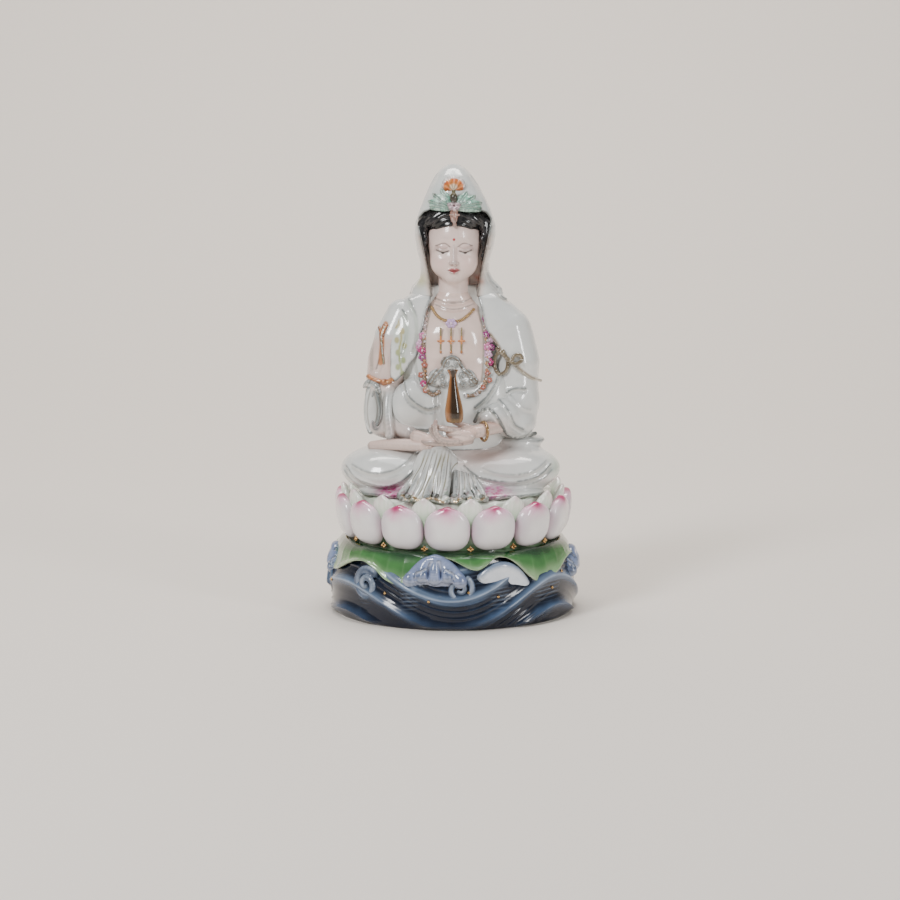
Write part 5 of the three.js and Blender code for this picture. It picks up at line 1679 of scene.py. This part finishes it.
piece("crown_foliage", *leaves.surface(), "crown_green_glaze", enamel, ["crown_leaves"], paint_leaves,
      whole=True, painted_shade=0.6)
FAN = (0.4, 382.5)
y = front(hood, FAN[0], 383)
halo = Clay((-14, -46, 342), (16, -8, 396), 0.4)
halo.ell((FAN[0], y + 0.2, FAN[1]), (10.6, 3.4, 8.2), k=0.5)
halo.ell((FAN[0], y + 1, FAN[1] - 5.4), (5.0, 5, 2.2), k=1.0, cut=True)
halo.press(2, lambda p: 0.45 * np.abs(np.sin(np.arctan2(p[:, 0] - FAN[0], p[:, 2] - FAN[1] + 5) * 6))
           * (p[:, 2] > 376.5))
halo.ell((0.5, -28.5, 372), (3.7, 4.4, 4.6), k=0.8)
halo.ell((0.5, -29.4, 377.4), (1.8, 2.0, 2.1), k=0.5)
for i in range(5):
    a = TAU * i / 5 + 0.3
    halo.ell((0.8 + 3.9 * math.cos(a), -30.2, 364.8 + 2.6 * math.sin(a)), (2.7, 2.2, 2.0), k=0.7)
halo.tube([(1.2, -30.5, 363), (1.3, -30.6, 356), (1.3, -30.2, 349)], [1.25, 1.1, 1.5], k=0.6)
halo.tube([(-2.4, -30.6, 356.6), (5.0, -30.6, 356.6)], [1.1, 1.1], k=0.5)
halo.ell((1.3, -29.8, 347.6), (1.9, 1.8, 2.3), k=0.6)
halo.tube([(0.8, -24, 368), (0.8, -26, 352)], [4, 3.4], k=0.6)


def paint_halo(p, n):
    d = np.hypot((p[:, 0] - FAN[0]) / 10.6, (p[:, 2] - FAN[1] + 1.2) / 8.8)
    col = mix((0.62, 0.13, 0.02), (0.70, 0.24, 0.05), smooth(-0.5, 0.5, lattice(p, 0.4, 3)))
    col = mix(col, (0.74, 0.55, 0.36), smooth(0.42, 0.22, d))
    col = mix(col, (0.78, 0.70, 0.68), smooth(0.80, 0.94, d))
    form = ((np.abs(p[:, 0] - 0.5) < 4.4) & (p[:, 2] > 367.6) & (p[:, 2] < 380)
            & (p[:, 1] < -27.4)).astype(F)
    col = mix(col, mix((0.045, 0.035, 0.02), (0.20, 0.16, 0.06), smooth(372, 379, p[:, 2])), form)
    col = mix(col, (0.60, 0.44, 0.48), (p[:, 2] <= 367.6).astype(F))
    return mix(col, mix((0.50, 0.26, 0.20), (0.62, 0.42, 0.36), smooth(-0.2, 0.4, lattice(p, 0.6, 5))),
               (p[:, 2] < 361).astype(F))


piece("crown_fan", *halo.surface(), "crown_orange_glaze", enamel, ["crown_halo"], paint_halo, whole=True,
      painted_shade=0.5)

# ---- Floor, light and camera ----
def flat_material(name, colour, rough):
    mat = bpy.data.materials.new(name)
    mat.use_nodes = True
    mat.node_tree.nodes["Principled BSDF"].inputs["Base Color"].default_value = (*colour, 1)
    mat.node_tree.nodes["Principled BSDF"].inputs["Roughness"].default_value = rough
    return mat


sweep = []
for x in (-6.0, 6.0):
    for y, z in [(-4.0, 0.0), (-1.2, 0.0), (0.3, 0.0), (0.8, 0.0), (1.1, 0.0), (1.6, 0.08), (2.0, 0.35),
                 (2.2, 0.9), (2.3, 6.0)]:
        sweep.append((x, y, z))
mesh = bpy.data.meshes.new("backdrop")
mesh.from_pydata(sweep, [], [(i, i + 1, i + 10, i + 9) for i in range(8)])
mesh.materials.append(flat_material("studio_paper", (0.72, 0.67, 0.62), 0.8))
backdrop = bpy.data.objects.new("backdrop", mesh)
backdrop.modifiers.new("round", "SUBSURF").render_levels = 3
for face in mesh.polygons:
    face.use_smooth = True
bpy.context.scene.collection.objects.link(backdrop)


def soft_light(name, place, aim, size, watts, colour=(1, 1, 1)):
    data = bpy.data.lights.new(name, "AREA")
    data.shape = "RECTANGLE"
    data.size, data.size_y = size
    data.energy = watts
    data.color = colour
    lamp = bpy.data.objects.new(name, data)
    lamp.location = place
    lamp.rotation_euler = (Vector(aim) - Vector(place)).to_track_quat("-Z", "Y").to_euler()
    bpy.context.scene.collection.objects.link(lamp)


soft_light("key", (-1.2, -1.5, 1.6), (0, 0, 0.2), (0.55, 0.8), 46)
soft_light("fill", (1.5, -1.4, 0.7), (0, 0, 0.2), (0.22, 1.0), 18)
soft_light("top", (0.1, 0.1, 2.2), (0, 0, 0), (1.2, 1.2), 16)
soft_light("wall", (0, 0.7, 2.6), (0, 2.3, 0.5), (2.4, 0.8), 70, (1.0, 0.95, 0.88))
world = bpy.data.worlds.new("studio")
world.use_nodes = True
world.node_tree.nodes["Background"].inputs["Color"].default_value = (0.93, 0.92, 0.90, 1)
world.node_tree.nodes["Background"].inputs["Strength"].default_value = 0.33
bpy.context.scene.world = world

CAMERA_DISTANCE = 2.4
CAMERA_HEIGHT = 0.507
CAMERA_AIM = (-0.0028, 0.0, 0.146)
# Metres seen across the picture at the distance of the aim.
VIEW_WIDTH = 0.828
SENSOR = 36
lens = bpy.data.cameras.new("camera")
lens.sensor_width = SENSOR
eye = Vector((CAMERA_AIM[0], -CAMERA_DISTANCE, CAMERA_HEIGHT))
reach = (Vector(CAMERA_AIM) - eye).length
lens.lens = SENSOR * reach / VIEW_WIDTH
lens.clip_end = 30
camera = bpy.data.objects.new("camera", lens)
camera.location = eye
camera.rotation_euler = (Vector(CAMERA_AIM) - eye).to_track_quat("-Z", "Y").to_euler()
bpy.context.scene.collection.objects.link(camera)
bpy.context.scene.camera = camera
